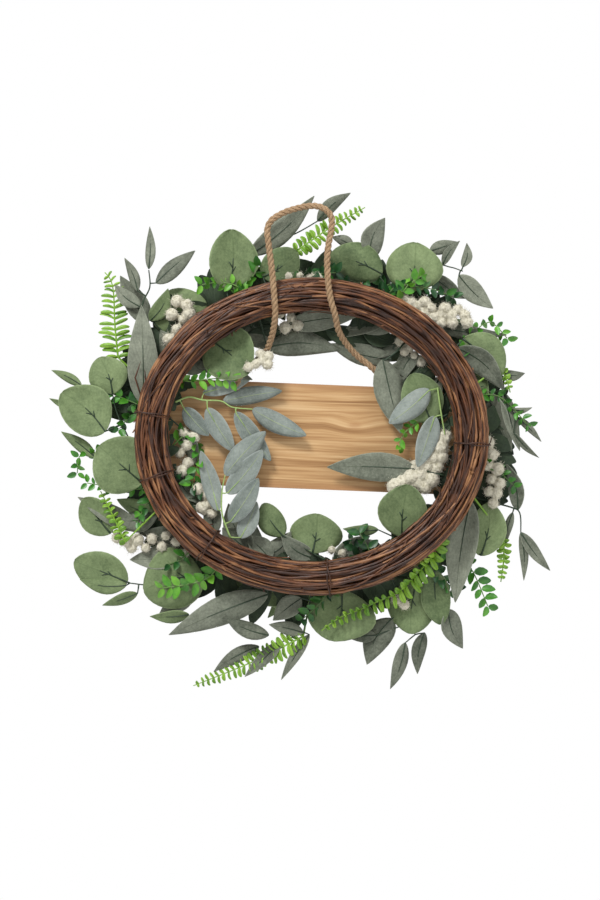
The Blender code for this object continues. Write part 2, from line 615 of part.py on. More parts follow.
# Leaves over the ring's front, above and below the board, in front of all the others.
FRONT_LEAVES = 6
FRONT_ARC = 44
FRONT_DEPTH = 44
for name, foot_angle in (
    ("front_spray_top_right", 38),
    ("front_spray_top_left", 96),
    ("front_spray_bottom_left", 219),
    ("front_spray_bottom_right", 280),
):
    foot = ring_point(math.radians(foot_angle), PLAN_HALF_WIDTH, PLAN_HALF_HEIGHT)
    stem = [(foot.x, foot.z, 18), (foot.x * 1.02, foot.z * 1.02, FRONT_DEPTH)]
    front = []
    for step in range(1, FRONT_LEAVES + 1):
        along = math.radians(foot_angle + FRONT_ARC * step / FRONT_LEAVES)
        spot = ring_point(along, PLAN_HALF_WIDTH + 4, PLAN_HALF_HEIGHT + 4)
        stem.append((spot.x, spot.z, FRONT_DEPTH))
        odd = step % 2
        heading = along + (0.7 if odd else -0.4)
        tip = spot + Vector((math.cos(heading), 0, math.sin(heading))) * (40 if odd else 48)
        kind, width = ("round", 32) if odd else ("willow", 18)
        front.append((kind, (spot.x, spot.z, FRONT_DEPTH), (tip.x, tip.z, FRONT_DEPTH + 4 + 10 * odd), width))
    spray(name, SAGE, stem, front)

for body, pieces in SPRAYS:
    join = body.modifiers.new("join", "BOOLEAN")
    join.operation = "UNION"
    join.solver = "EXACT"
    join.operand_type = "COLLECTION"
    join.collection = pieces
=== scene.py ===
import math
import random

import bmesh
import bpy
from mathutils import Matrix, Vector, noise
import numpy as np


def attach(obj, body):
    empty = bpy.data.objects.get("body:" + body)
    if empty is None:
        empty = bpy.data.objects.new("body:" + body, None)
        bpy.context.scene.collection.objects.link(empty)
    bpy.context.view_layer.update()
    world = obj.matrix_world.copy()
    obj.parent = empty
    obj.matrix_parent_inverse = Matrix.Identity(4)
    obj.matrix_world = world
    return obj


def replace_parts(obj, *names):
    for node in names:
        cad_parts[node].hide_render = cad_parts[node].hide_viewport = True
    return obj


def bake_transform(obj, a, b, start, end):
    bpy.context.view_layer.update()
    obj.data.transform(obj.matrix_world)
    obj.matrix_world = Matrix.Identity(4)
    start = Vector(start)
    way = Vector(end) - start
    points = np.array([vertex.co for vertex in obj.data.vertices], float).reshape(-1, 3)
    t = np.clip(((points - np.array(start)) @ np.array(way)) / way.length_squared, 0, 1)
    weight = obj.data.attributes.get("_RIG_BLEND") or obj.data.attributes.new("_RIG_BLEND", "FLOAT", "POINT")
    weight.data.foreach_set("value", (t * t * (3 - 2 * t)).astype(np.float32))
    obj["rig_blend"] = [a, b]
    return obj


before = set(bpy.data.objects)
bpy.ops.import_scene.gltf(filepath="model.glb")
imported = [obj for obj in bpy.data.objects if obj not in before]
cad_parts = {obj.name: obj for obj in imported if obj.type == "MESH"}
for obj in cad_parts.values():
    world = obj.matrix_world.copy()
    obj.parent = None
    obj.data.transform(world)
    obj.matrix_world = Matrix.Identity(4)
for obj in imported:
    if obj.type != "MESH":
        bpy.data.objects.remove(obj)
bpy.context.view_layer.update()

# The wreath is seen from its back, square on, hanging in front of a plain pale wall of light.
# The camera is far enough off that the ring and the leaves in front of it keep their sizes.
RING_CENTRE = Vector((0, 0.0205, -0.221))
VIEW_HEIGHT = 0.588 * 1.5
VIEW_SIDEWAYS, VIEW_DOWN = -0.0113, 0.0132
LENS, SENSOR = 100.0, 36.0
eye_distance = VIEW_HEIGHT * LENS / SENSOR
camera = bpy.data.objects.new("camera", bpy.data.cameras.new("camera"))
bpy.context.scene.collection.objects.link(camera)
camera.data.lens = LENS
camera.data.sensor_width = SENSOR
camera.location = (VIEW_SIDEWAYS, RING_CENTRE.y - eye_distance, RING_CENTRE.z - VIEW_DOWN)
camera.rotation_euler = (math.pi / 2, 0, 0)
bpy.context.scene.camera = camera
bpy.context.scene.view_settings.view_transform = "Standard"

world = bpy.data.worlds.new("studio")
world.use_nodes = True
backdrop = world.node_tree.nodes["Background"]
SEEN_WALL, LIT_BY_WALL = 1.0, 0.66
backdrop.inputs["Color"].default_value = (1.0, 1.0, 1.0, 1)
seen = world.node_tree.nodes.new("ShaderNodeLightPath")
brightness = world.node_tree.nodes.new("ShaderNodeMapRange")
brightness.inputs["To Min"].default_value = LIT_BY_WALL
brightness.inputs["To Max"].default_value = SEEN_WALL
world.node_tree.links.new(seen.outputs["Is Camera Ray"], brightness.inputs["Value"])
world.node_tree.links.new(brightness.outputs["Result"], backdrop.inputs["Strength"])
bpy.context.scene.world = world
for name, place, size, power in (
    ("key_light", (-0.8, -1.5, 1.5), 0.55, 52.0),
    ("fill_light", (1.6, -1.2, 0.3), 1.4, 9.0),
    ("front_light", (0.5, 1.9, 0.9), 1.5, 16.0),
):
    lamp = bpy.data.lights.new(name, "AREA")
    lamp.energy = power
    lamp.size = size
    holder = bpy.data.objects.new(name, lamp)
    holder.location = place
    holder.rotation_euler = (RING_CENTRE - Vector(place)).to_track_quat("-Z", "Y").to_euler()
    bpy.context.scene.collection.objects.link(holder)


class Socket:
    """A shader value. Sums, products and powers of these add Math nodes."""

    def __init__(self, shader, out):
        self.shader, self.out = shader, out

    def _math(self, operation, one, two):
        return self.shader.node("ShaderNodeMath", {"operation": operation}, {0: one, 1: two})

    def __add__(self, other):
        return self._math("ADD", self, other)

    def __radd__(self, other):
        return self._math("ADD", other, self)

    def __sub__(self, other):
        return self._math("SUBTRACT", self, other)

    def __rsub__(self, other):
        return self._math("SUBTRACT", other, self)

    def __mul__(self, other):
        return self._math("MULTIPLY", self, other)

    def __rmul__(self, other):
        return self._math("MULTIPLY", other, self)

    def __pow__(self, other):
        return self._math("POWER", self, other)

    def abs(self):
        return self._math("ABSOLUTE", self, 0)

    def sin(self):
        return self._math("SINE", self, 0)

    def fraction(self):
        return self._math("FRACT", self, 0)

    def least(self, other):
        return self._math("MINIMUM", self, other)

    def most(self, other):
        return self._math("MAXIMUM", self, other)

    def ramp(self, low, high):
        """0 below low and 1 above high, with a soft step between."""
        return self.shader.node(
            "ShaderNodeMapRange",
            {"interpolation_type": "SMOOTHSTEP"},
            {"Value": self, "From Min": low, "From Max": high},
        )


class Finish:
    """One material of the wreath and the nodes that make its surface."""

    def __init__(self, name, roughness, **fixed):
        self.material = bpy.data.materials.new(name)
        self.material.use_nodes = True
        self.tree = self.material.node_tree
        self.surface = self.tree.nodes["Principled BSDF"]
        self.surface.inputs["Roughness"].default_value = roughness
        for socket, value in fixed.items():
            self.surface.inputs[socket.replace("_", " ")].default_value = value

    def node(self, kind, settings=None, values=None, out=0):
        made = self.tree.nodes.new(kind)
        for key, value in (settings or {}).items():
            if key == "stops":
                for _ in value[2:]:
                    made.color_ramp.elements.new(1.0)
                for stop, (place, colour) in zip(made.color_ramp.elements, value):
                    stop.position = place
                    stop.color = (*colour, 1)
            else:
                setattr(made, key, value)
        for key, value in (values or {}).items():
            if isinstance(value, Socket):
                self.tree.links.new(value.out, made.inputs[key])
            elif isinstance(value, tuple) and len(value) == 3 and made.inputs[key].type == "RGBA":
                made.inputs[key].default_value = (*value, 1)
            else:
                made.inputs[key].default_value = value
        return Socket(self, made.outputs[out])

    def place(self):
        return self.node("ShaderNodeTexCoord", out="Object")

    def across(self):
        """The piece's own map: along it in x and round or across it in y."""
        return self.node("ShaderNodeUVMap", {"uv_map": "along"})

    def stretch(self, vector, scale):
        return self.node("ShaderNodeMapping", {}, {"Vector": vector, "Scale": scale})

    def split(self, vector, axis):
        return self.node("ShaderNodeSeparateXYZ", {}, {"Vector": vector}, out=axis)

    def noise(self, vector, scale, detail=3.0, rough=0.55):
        values = {"Vector": vector, "Scale": scale, "Detail": detail, "Roughness": rough}
        return self.node("ShaderNodeTexNoise", {}, values)

    def own(self, name):
        """A number stored on the mesh."""
        return self.node("ShaderNodeAttribute", {"attribute_name": name}, out="Fac")

    def blend(self, factor, one, two):
        """Colour one where the factor is 0 and two where it is 1."""
        mix = self.tree.nodes.new("ShaderNodeMix")
        mix.data_type = "RGBA"
        for socket, value in zip((mix.inputs[0], mix.inputs[6], mix.inputs[7]), (factor, one, two)):
            if isinstance(value, Socket):
                self.tree.links.new(value.out, socket)
            else:
                socket.default_value = (*value, 1) if isinstance(value, tuple) else value
        return Socket(self, mix.outputs[2])

    def paint(self, colour=None, roughness=None, height=None, depth=0.001):
        """The colour, roughness and relief of the surface. Height 1 stands depth above 0, in metres."""
        if colour is not None:
            self.tree.links.new(colour.out, self.surface.inputs["Base Color"])
        if roughness is not None:
            self.tree.links.new(roughness.out, self.surface.inputs["Roughness"])
        if height is not None:
            bump = self.node("ShaderNodeBump", {}, {"Height": height, "Distance": depth, "Strength": 1.0})
            self.tree.links.new(bump.out, self.surface.inputs["Normal"])


def srgb(red, green, blue):
    """A colour as seen, 0 to 255, as the light that the shader takes."""
    return tuple(
        value / 255 / 12.92 if value <= 10 else ((value / 255 + 0.055) / 1.055) ** 2.4
        for value in (red, green, blue)
    )


def piece(name, mesh, finish):
    """A finished mesh as an object of the wreath, in its own place."""
    made = bpy.data.objects.new(name, mesh)
    bpy.context.scene.collection.objects.link(made)
    if not mesh.materials:
        mesh.materials.append(finish)
    mesh.shade_smooth()
    return made


# The floor is a pale disc well below the wreath. It is part of the studio and not of the object.
FLOOR_DROP = 1.25
floor_form = bmesh.new()
bmesh.ops.create_circle(floor_form, cap_ends=True, segments=64, radius=3.0)
bmesh.ops.translate(floor_form, verts=floor_form.verts, vec=(0, 0, RING_CENTRE.z - FLOOR_DROP))
floor_mesh = bpy.data.meshes.new("floor")
floor_form.to_mesh(floor_mesh)
floor_form.free()
floor_finish = Finish("floor_paint", 0.9)
floor_finish.surface.inputs["Base Color"].default_value = (0.86, 0.86, 0.86, 1)
floor = piece("floor", floor_mesh, floor_finish.material)


# The ring is a bundle of dry grapevines, soaked, bent into a hoop and wound round itself. Each vine
# is a few millimetres thick, runs a turn or more, and has bark in shades from tan to dark brown.
# Each layer is its distance from the bundle's middle, its number of vines and their radius.
RING_HALF_WIDTH, RING_HALF_HEIGHT, RING_TUBE_RADIUS = 0.1575, 0.139, 0.0165
VINE_LAYERS = ((0.0000, 7, 0.0030), (0.0055, 10, 0.0026), (0.0096, 20, 0.0018), (0.0146, 60, 0.0012))
OUTER_LAYER = 3
VINE_STEPS = 140
KNOTS_ON_A_VINE = 9
MOST_PROUD = 0.0024
draw = random.Random(7)


def on_ring(angle, turn, radius):
    """A point round the ring: angle from the right-hand side, turn about the tube from outside."""
    middle = Vector((RING_HALF_WIDTH * math.cos(angle), 0, RING_HALF_HEIGHT * math.sin(angle)))
    away = Vector((RING_HALF_HEIGHT * math.cos(angle), 0, RING_HALF_WIDTH * math.sin(angle)))
    away = away.normalized() * math.cos(turn) + Vector((0, math.sin(turn), 0))
    return RING_CENTRE + middle + away * radius


def rounded(route):
    """The route with a point added at each end, where it closes."""
    (first, first_radius), (second, _), (before, _), (last, last_radius) = *route[:2], *route[-2:]
    front = first + (first - second).normalized() * first_radius * 0.5
    back = last + (last - before).normalized() * last_radius * 0.5
    return [(front, 1e-6), *route, (back, 1e-6)]


def swept(name, routes, sides, shades, closed=False):
    """Round bars along routes of (point, radius), as one mesh with a map along and round each bar."""
    curve = bpy.data.curves.new(name, "CURVE")
    curve.dimensions = "3D"
    curve.bevel_depth = 1.0
    curve.bevel_resolution = sides // 2 - 2
    if not closed:
        routes = [rounded(route) for route in routes]
    for route in routes:
        line = curve.splines.new("POLY")
        line.points.add(len(route) - 1)
        line.use_cyclic_u = closed
        for point, (place, radius) in zip(line.points, route):
            point.co = (*place, 1)
            point.radius = radius
    holder = bpy.data.objects.new(name, curve)
    bpy.context.scene.collection.objects.link(holder)
    graph = bpy.context.evaluated_depsgraph_get()
    mesh = bpy.data.meshes.new_from_object(holder.evaluated_get(graph))
    mesh.name = name
    bpy.data.objects.remove(holder)
    work = bmesh.new()
    work.from_mesh(mesh)
    shade_layer = work.verts.layers.float.new("shade")
    work.verts.ensure_lookup_table()
    at = 0
    for route, shade in zip(routes, shades):
        for vert in work.verts[at : at + len(route) * sides]:
            vert[shade_layer] = shade
        at += len(route) * sides
    if not closed:
        bmesh.ops.remove_doubles(work, verts=work.verts, dist=4e-6)
    bmesh.ops.recalc_face_normals(work, faces=work.faces)
    work.to_mesh(mesh)
    work.free()
    if mesh.uv_layers:
        mesh.uv_layers[0].name = "along"
    return mesh


vine_routes, vine_shades = [], []
for layer, (reach, count, thick) in enumerate(VINE_LAYERS):
    for number in range(count):
        start = math.tau * number / count + draw.uniform(-0.25, 0.25) / max(1, layer)
        winds = draw.choice((-1, 1, 1, 2) if layer < OUTER_LAYER else (-1, 0, 0, 0, 0, 0, 1, 1))
        sway = [(draw.uniform(0.06, 0.5) / k**0.9, k, draw.uniform(0, math.tau)) for k in (2, 3, 5, 8, 13)]
        rise = [(draw.uniform(0.0003, 0.0009), k, draw.uniform(0, math.tau)) for k in (3, 7, 13)]
        radius = thick * draw.uniform(0.65, 1.25)
        knots = {draw.randrange(VINE_STEPS): draw.uniform(1.25, 1.65) for _ in range(KNOTS_ON_A_VINE)}
        route = []
        for step in range(VINE_STEPS):
            angle = math.tau * step / VINE_STEPS
            turn = start + winds * angle + sum(a * math.sin(k * angle + p) for a, k, p in sway)
            lift = reach + sum(a * math.sin(k * angle + p) for a, k, p in rise)
            lift = min(lift, RING_TUBE_RADIUS - radius + MOST_PROUD)
            route.append((on_ring(angle, turn, lift), radius * knots.get(step, 1.0)))
        vine_routes.append(route)
        vine_shades.append(draw.random())

bark = Finish("vine_bark", 0.62)
bark_map = bark.across()
fibres = bark.noise(bark.stretch(bark_map, (60, 9, 1)), 1.0, 5)
patches = bark.noise(bark.place(), 55.0, 3)
flecks = bark.noise(bark.stretch(bark_map, (420, 5, 1)), 1.0, 2)
tone = bark.own("shade") * 0.52 + patches * 0.7 + fibres * 0.8 - 0.52
bark_colour = bark.node(
    "ShaderNodeValToRGB",
    {
        "stops": (
            (0.0, srgb(22, 8, 3)),
            (0.3, srgb(56, 28, 11)),
            (0.6, srgb(104, 61, 32)),
            (1.0, srgb(178, 130, 86)),
        )
    },
    {"Fac": tone},
)
bark_colour = bark.blend(flecks.ramp(0.62, 0.75) * 0.45, bark_colour, srgb(52, 28, 20))
bark.paint(bark_colour, 0.3 + patches * 0.3, fibres * 0.7 + flecks * 0.3, 0.0006)
covered = sum(count for reach, count, thick in VINE_LAYERS[:OUTER_LAYER])
under = swept("vines_under", vine_routes[:covered], 6, vine_shades[:covered], closed=True)
over = swept("vines_over", vine_routes[covered:], 6, vine_shades[covered:], closed=True)
vines_under = piece("vines_under", under, bark.material)
vines_over = piece("vines_over", over, bark.material)
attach(vines_under, "wreath")
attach(vines_over, "wreath")
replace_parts(vines_under, "vine_core")
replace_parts(vines_over, "vine_cane_1", "vine_cane_2")


# Ends of vines are tucked in or stand off the bundle, thin tendrils cling to it, and cut twigs show
# where side shoots were trimmed.
STRAYS, CUT_TWIGS = 80, 70
STRAY_STEPS = 12
TENDRIL_RADIUS = 0.0008
TENDRILS = (
    ((-0.166, 0.036, -0.188), (-0.174, 0.037, -0.163), (-0.166, 0.037, -0.140)),
    ((-0.162, 0.036, -0.190), (-0.164, 0.037, -0.160), (-0.166, 0.037, -0.138)),
)
stray_routes, stray_shades = [], []
for number in range(STRAYS):
    angle, turn = draw.uniform(0, math.tau), draw.uniform(0, math.tau)
    run, drift = draw.uniform(0.12, 0.5), draw.uniform(-1.5, 1.5)
    radius = draw.uniform(0.0004, 0.0010)
    route = []
    for step in range(STRAY_STEPS + 1):
        t = step / STRAY_STEPS
        lift = RING_TUBE_RADIUS - 0.0004 + 0.0026 * t**3 + 0.0006 * math.sin(9 * t + number)
        route.append((on_ring(angle + run * t, turn + drift * t, lift), radius * (1 - 0.5 * t)))
    stray_routes.append(route)
    stray_shades.append(draw.uniform(0.1, 0.95))
for tendril in TENDRILS:
    stray_routes.append([(Vector(place), TENDRIL_RADIUS) for place in tendril])
    stray_shades.append(0.2)
for number in range(CUT_TWIGS):
    angle, turn = draw.uniform(0, math.tau), draw.uniform(0, math.tau)
    foot = on_ring(angle, turn, RING_TUBE_RADIUS - 0.0015)
    tip = on_ring(angle + draw.uniform(0.01, 0.035), turn, RING_TUBE_RADIUS + draw.uniform(0.0008, 0.0032))
    stray_routes.append([(foot, 0.0009), (foot.lerp(tip, 0.6), 0.0008), (tip, 0.0007)])
    stray_shades.append(draw.random())
strays = piece("vine_strays", swept("vine_strays", stray_routes, 6, stray_shades), bark.material)
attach(strays, "wreath")


# The bundle is held by wraps of thin, dark vine, pulled tight and twisted on themselves, at five
# places round the ring.
WRAP_ANGLES = (171, 196, 230, 276, 357)
WRAP_RADIUS = 0.0007
WRAP_STEPS = 44
wrap_routes, wrap_shades = [], []
for at in WRAP_ANGLES:
    for strand in (-1, 1):
        route = []
        for step in range(WRAP_STEPS):
            turn = math.tau * step / WRAP_STEPS
            swing = math.radians(at) + 0.006 * strand * math.sin(3 * turn + at) + 0.004 * strand
            lift = RING_TUBE_RADIUS + 0.0014 + 0.0005 * strand * math.cos(3 * turn + at)
            route.append((on_ring(swing, turn, lift), WRAP_RADIUS * (1 + 0.15 * math.sin(11 * turn))))
        wrap_routes.append(route)
        wrap_shades.append(0.12 + 0.1 * strand)
wrap_mesh = swept("binding_wraps", wrap_routes, 6, wrap_shades, closed=True)
wraps = piece("binding_wraps", wrap_mesh, bark.material)
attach(wraps, "wreath")
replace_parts(wraps, "binding_vine_1", "binding_vine_2")


# The board is one plank of pine, planed, lightly stained and left bare. Its grain runs along it, with darker
# late-wood lines, a few long streaks, a small knot, and a band painted darker along its top and bottom
# edges.
BOARD_KNOT = (0.043, 0.011)
pine = Finish("stained_pine", 0.5)
pine_place = pine.place()
board_x = pine.split(pine_place, 0)
board_z = pine.split(pine_place, 2) - RING_CENTRE.z
knot_x, knot_z = board_x - BOARD_KNOT[0], board_z - BOARD_KNOT[1]
knot_near = (knot_x * knot_x * 0.25 + knot_z * knot_z) ** 0.5
knot_pull = (1 - knot_near.ramp(0.0, 0.017)) * 0.006
wander = pine.noise(pine.stretch(pine_place, (4, 12, 12)), 1.0, 2)
grain_height = board_z + board_x * 0.04 + wander * 0.007 + knot_pull


def grain(along, over, detail):
    """Streaks that follow the grain, with this many to a metre along it and over it."""
    place = pine.node("ShaderNodeCombineXYZ", {}, {"X": board_x * along, "Z": grain_height * over})
    return pine.noise(place, 1.0, detail)


broad, narrow = grain(3, 105, 3), grain(9, 430, 3)
late_wood = grain(5, 210, 2).ramp(0.55, 0.70)
pores = pine.noise(pine.stretch(pine_place, (45, 700, 900)), 1.0, 3)
pine_colour = pine.node(
    "ShaderNodeValToRGB",
    {
        "stops": (
            (0.0, srgb(106, 68, 36)),
            (0.35, srgb(148, 108, 64)),
            (0.62, srgb(182, 143, 96)),
            (1.0, srgb(214, 182, 136)),
        )
    },
    {"Fac": broad * 1.7 + narrow * 0.9 - late_wood * 0.42 - 0.68},
)
pine_colour = pine.blend(pores.ramp(0.55, 0.8) * 0.3, pine_colour, srgb(150, 96, 56))
pine_colour = pine.blend((1 - knot_near.ramp(0.001, 0.005)) * 0.3, pine_colour, srgb(150, 94, 52))
# The board's colour is painted darker in a band along its top and bottom edges.
edge_dark = (board_z + board_x * 0.04).abs().ramp(0.044, 0.052)
pine_colour = pine.blend(edge_dark * 0.45, pine_colour, srgb(140, 86, 48))
pine.paint(pine_colour, 0.42 + pores * 0.2, late_wood * 0.4 + pores * 0.4, 0.0002)
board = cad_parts["sign_board"]
board.data.materials.clear()
board.data.materials.append(pine.material)


# The rope is three-strand jute, 6 mm thick. It comes out of the back of one hole, runs up over the
# inside of the ring, round the hook and back down to the other hole, and ends in a knot at each.
ROPE_PITCH = 0.0165
PLY_RADIUS = 0.00165
HOLE_BACK, HOLE_LEAD, HOLE_GRIP = 0.0425, 0.002, 0.3
ROPE_ROUTE = (
    (-73.3, 51.5, -176.0), (-73.3, 46.2, -176.0), (-73.5, 41.5, -175.4), (-73.2, 37.6, -171.0),
    (-72.0, 36.0, -164.5), (-66.0, 35.5, -155.5), (-56.0, 34.5, -147.0), (-45.5, 30.5, -138.5),
    (-41.0, 22.5, -128.5), (-37.5, 12.5, -117.0), (-35.4, 3.6, -102.0), (-36.0, 0.6, -88.0),
    (-37.0, 0.0, -76.0), (-38.0, 0.0, -65.0), (-39.6, 0.0, -51.0), (-42.2, 0.0, -31.0),
    (-43.0, 0.0, -19.5), (-38.5, 0.0, -10.5), (-27.0, 0.0, -3.5), (-13.8, 0.0, 0.8),
    (-1.2, 0.0, 3.0), (9.0, 0.0, 1.8), (16.2, 0.0, -3.0), (19.6, 0.0, -9.6),
    (19.2, 0.0, -19.5), (16.6, 0.0, -33.5), (15.2, 0.0, -47.0), (15.6, 0.0, -65.0),
    (16.6, 0.0, -76.0), (18.6, 0.6, -88.0), (22.6, 3.6, -102.0), (26.2, 12.5, -117.0),
    (33.0, 22.5, -128.5), (44.4, 30.5, -141.0), (56.0, 34.5, -150.0), (65.5, 35.8, -158.5),
    (73.0, 36.5, -168.5), (76.2, 38.0, -176.5), (76.8, 41.5, -181.2), (76.6, 46.2, -182.0),
    (76.6, 51.5, -182.0),
)


def smooth_line(points, steps=20):
    """Closely spaced points on the smooth curve through these points."""
    line = []
    last = len(points) - 1
    for i in range(last):
        before, start, end, after = (Vector(points[min(max(j, 0), last)]) for j in (i - 1, i, i + 1, i + 2))
        for part in range(steps):
            t = part / steps
            square = (2 * before - 5 * start + 4 * end - after) * t**2
            cube = (3 * start - before - 3 * end + after) * t**3
            line.append(0.5 * (2 * start + (end - before) * t + square + cube))
    line.append(Vector(points[-1]))
    return line


def even(line, step):
    """Points a step apart along a line, and how far along it each one is."""
    along = [0.0]
    for one, two in zip(line, line[1:]):
        along.append(along[-1] + (two - one).length)
    spaces = max(2, round(along[-1] / step))
    places, at = [], 0
    for i in range(spaces + 1):
        wanted = along[-1] * i / spaces
        while at < len(line) - 2 and along[at + 1] < wanted:
            at += 1
        share = (wanted - along[at]) / max(1e-9, along[at + 1] - along[at])
        places.append((line[at].lerp(line[at + 1], share), wanted))
    return places


def laid_rope(line, step, core=PLY_RADIUS, ply=PLY_RADIUS, pitch=ROPE_PITCH, squeezed=0.0):
    """Three plies laid round a line, as routes of (point, radius), squeezed by this share in a hole."""
    places = even(line, step)
    side = Vector((1, 0, 0))
    plies = [[], [], []]
    for i, (point, at) in enumerate(places):
        ahead = places[min(i + 1, len(places) - 1)][0] - places[max(i - 1, 0)][0]
        ahead.normalize()
        side = (side - ahead * side.dot(ahead)).normalized()
        other = ahead.cross(side)
        grip = 1 - squeezed * min(1.0, max(0.0, (point.y - HOLE_BACK) / HOLE_LEAD))
        for number, route in enumerate(plies):
            turn = math.tau * (at / pitch + number / 3)
            away = side * math.cos(turn) + other * math.sin(turn)
            route.append((point + away * core * grip, ply * grip))
    return plies


rope_line = smooth_line([Vector(point) * 0.001 for point in ROPE_ROUTE])
rope_plies = laid_rope(rope_line, 0.0011, squeezed=HOLE_GRIP)
jute = Finish("jute_rope", 0.92)
jute_map = jute.across()
yarn_along, yarn_round = jute.split(jute_map, 0), jute.split(jute_map, 1)
jute_grit = jute.noise(jute.place(), 900.0, 3)
jute_patch = jute.noise(jute.place(), 120.0, 3)
yarns = ((yarn_along * 900 + yarn_round * 40) + jute_grit * 3).sin() * 0.5 + 0.5
jute_colour = jute.node(
    "ShaderNodeValToRGB",
    {
        "stops": (
            (0.0, srgb(92, 68, 46)),
            (0.45, srgb(146, 117, 86)),
            (0.75, srgb(178, 150, 118)),
            (1.0, srgb(202, 178, 148)),
        )
    },
    {"Fac": yarns * 0.3 + jute_grit * 0.45 + jute_patch * 0.35},
)
jute.paint(jute_colour, None, yarns * 0.5 + jute_grit * 0.5, 0.0006)
rope = piece("rope", swept("rope", rope_plies, 8, (0.3, 0.5, 0.7)), jute.material)
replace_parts(rope, "rope_strand_left", "rope_strand_right", "hanger_loop")
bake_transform(rope, "wreath", "hanger", (0, 0, -0.077), (0, 0, -0.053))
rope_steps = even(rope_line, 0.006)
rope_path = [place for place, at in rope_steps]

# Loose hairs of jute stand off the rope all along it.
ROPE_HAIRS = 520
hair_routes = []
for number in range(ROPE_HAIRS):
    place = draw.choice(rope_path)
    out = Vector((draw.gauss(0, 1), draw.gauss(0, 1), draw.gauss(0, 1))).normalized()
    bend = Vector((draw.gauss(0, 1), draw.gauss(0, 1), draw.gauss(0, 1))) * 0.0009
    reach = draw.uniform(0.0034, 0.0049)
    root = place + out * 0.0024
    elbow, end = place + out * reach * 0.8 + bend * 0.5, place + out * reach + bend
    hair_routes.append([(root, 0.00007), (elbow, 0.00006), (end, 0.00004)])
hairs = piece("rope_hairs", swept("rope_hairs", hair_routes, 4, [0.5] * ROPE_HAIRS), jute.material)
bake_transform(hairs, "wreath", "hanger", (0, 0, -0.077), (0, 0, -0.053))

# Each end of the rope is tied in an overhand knot on the board's front, too big for the hole.
KNOT_STEPS, KNOT_HALF_WIDTH = 39, 0.0045
for side, centre in (("left", (-0.0733, 0.0625, -0.1760)), ("right", (0.0766, 0.0625, -0.1820))):
    centre = Vector(centre)
    tied = []
    for step in range(KNOT_STEPS + 1):
        t = math.tau * step / KNOT_STEPS
        sideways = KNOT_HALF_WIDTH * (math.sin(t) + 0.75 * math.sin(2 * t))
        upward = KNOT_HALF_WIDTH * (math.cos(t) - 0.75 * math.cos(2 * t))
        tied.append(centre + Vector((sideways, -0.0026 * math.sin(3 * t) - 0.0006, upward)))
    tied = [centre + Vector((0, -0.0110, 0)), centre + Vector((0.0004, -0.0060, 0.0))] + tied[4:-3]
    tied.append(tied[-1] + Vector((0.0030, 0.0010, -0.0060)))
    knot_plies = laid_rope(smooth_line(tied, 4), 0.0009, core=0.0013, ply=0.00145, pitch=0.012)
    knot_mesh = swept(f"end_knot_{side}", knot_plies, 8, (0.3, 0.5, 0.7))
    knot = piece(f"end_knot_{side}", knot_mesh, jute.material)
    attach(knot, "sign")
    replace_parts(knot, f"rope_knot_{side}")


# The leaves are printed cloth, cut out, cupped by heat, and pressed onto a moulded wire rib that
# shows on their backs. Round ones are sage green, long ones grey-green and the light ones dusted blue.
LEAF_CLOTH = 0.0005
OUTLINE = {
    "round": lambda u: max(0.0, math.sin(math.pi * u**0.93)) ** 0.56,
    "willow": lambda u: max(0.0, math.sin(math.pi * u**0.74)) ** 0.88,
    "light": lambda u: max(0.0, math.sin(math.pi * u**0.80)) ** 0.66,
    "pinna": lambda u: max(0.0, math.sin(math.pi * u**1.05)) ** 0.36,
}
RIB = {"round": (0.52, 0.0011), "willow": (0.6, 0.0008), "light": (0.0, 0.0006), "pinna": (0.0, 0.0)}
ROUND_FULLNESS = 1.1


def leaf_finish(name, dark, light, vein, vein_strength, roughness=0.72):
    """Printed cloth: a mottled colour that differs by leaf, with veins, a weave and a pale cut edge."""
    made = Finish(name, roughness)
    leaf_map = made.across()
    u, v = made.split(leaf_map, 0), (made.split(leaf_map, 1) * 2 - 1).abs()
    own = made.own("shade")
    place = made.place()
    mottle = made.noise(place, 70.0, 4, 0.6)
    weave = made.noise(place, 1500.0, 2)
    slant = ((u - v * 0.42) * 10 + own * 3).fraction()
    side_vein = (1 - (slant - 0.5).abs().ramp(0.0, 0.09)) * (1 - v.ramp(0.75, 0.95)) * vein_strength
    middle = (1 - v.ramp(0.012, 0.055)) * vein_strength * 1.6
    veins = side_vein.most(middle).least(1.0)
    fleck = made.noise(place, 420.0, 3, 0.7)
    tone = (mottle * 1.1 + fleck * 1.0 + weave * 0.3 + own * 0.45 - 0.96).least(1.0).most(0.0)
    colour = made.blend(tone, dark, light)
    colour = made.blend(veins, colour, vein)
    edge = v.ramp(0.93, 1.0)
    colour = made.blend(edge * 0.35, colour, tuple(min(1, c * 1.5 + 0.05) for c in light))
    made.paint(colour, 0.62 + weave * 0.25, weave * 0.5 + veins * 0.8, 0.0004)
    return made.material


sage = leaf_finish("sage_cloth", srgb(70, 88, 52), srgb(128, 145, 100), srgb(84, 102, 62), 0.28)
grey = leaf_finish("grey_cloth", srgb(64, 70, 57), srgb(136, 141, 124), srgb(74, 84, 64), 0.35)
dusted = leaf_finish("dusted_cloth", srgb(94, 104, 100), srgb(150, 158, 152), srgb(150, 164, 124), 0.55)
# The dark cloth is partly a darker green and partly painted shade: the shade deep among the leaves is
# painted into its colour.
shadow = leaf_finish("dark_green_shaded_cloth", srgb(20, 34, 22), srgb(58, 76, 48), srgb(34, 50, 32), 0.3)

moulded = Finish("moulded_stem", 0.5)
moulded_own = moulded.own("shade")
moulded_grain = moulded.noise(moulded.place(), 300.0, 2)
moulded_tone = (moulded_own + moulded_grain * 0.3 - 0.15).least(1.0).most(0.0)
moulded_colour = moulded.node(
    "ShaderNodeValToRGB",
    {
        "stops": (
            (0.0, srgb(24, 40, 28)),
            (0.3, srgb(48, 72, 44)),
            (0.65, srgb(104, 142, 66)),
            (1.0, srgb(168, 190, 120)),
        )
    },
    {"Fac": moulded_tone},
)
moulded.paint(moulded_colour, None, moulded_grain, 0.0002)


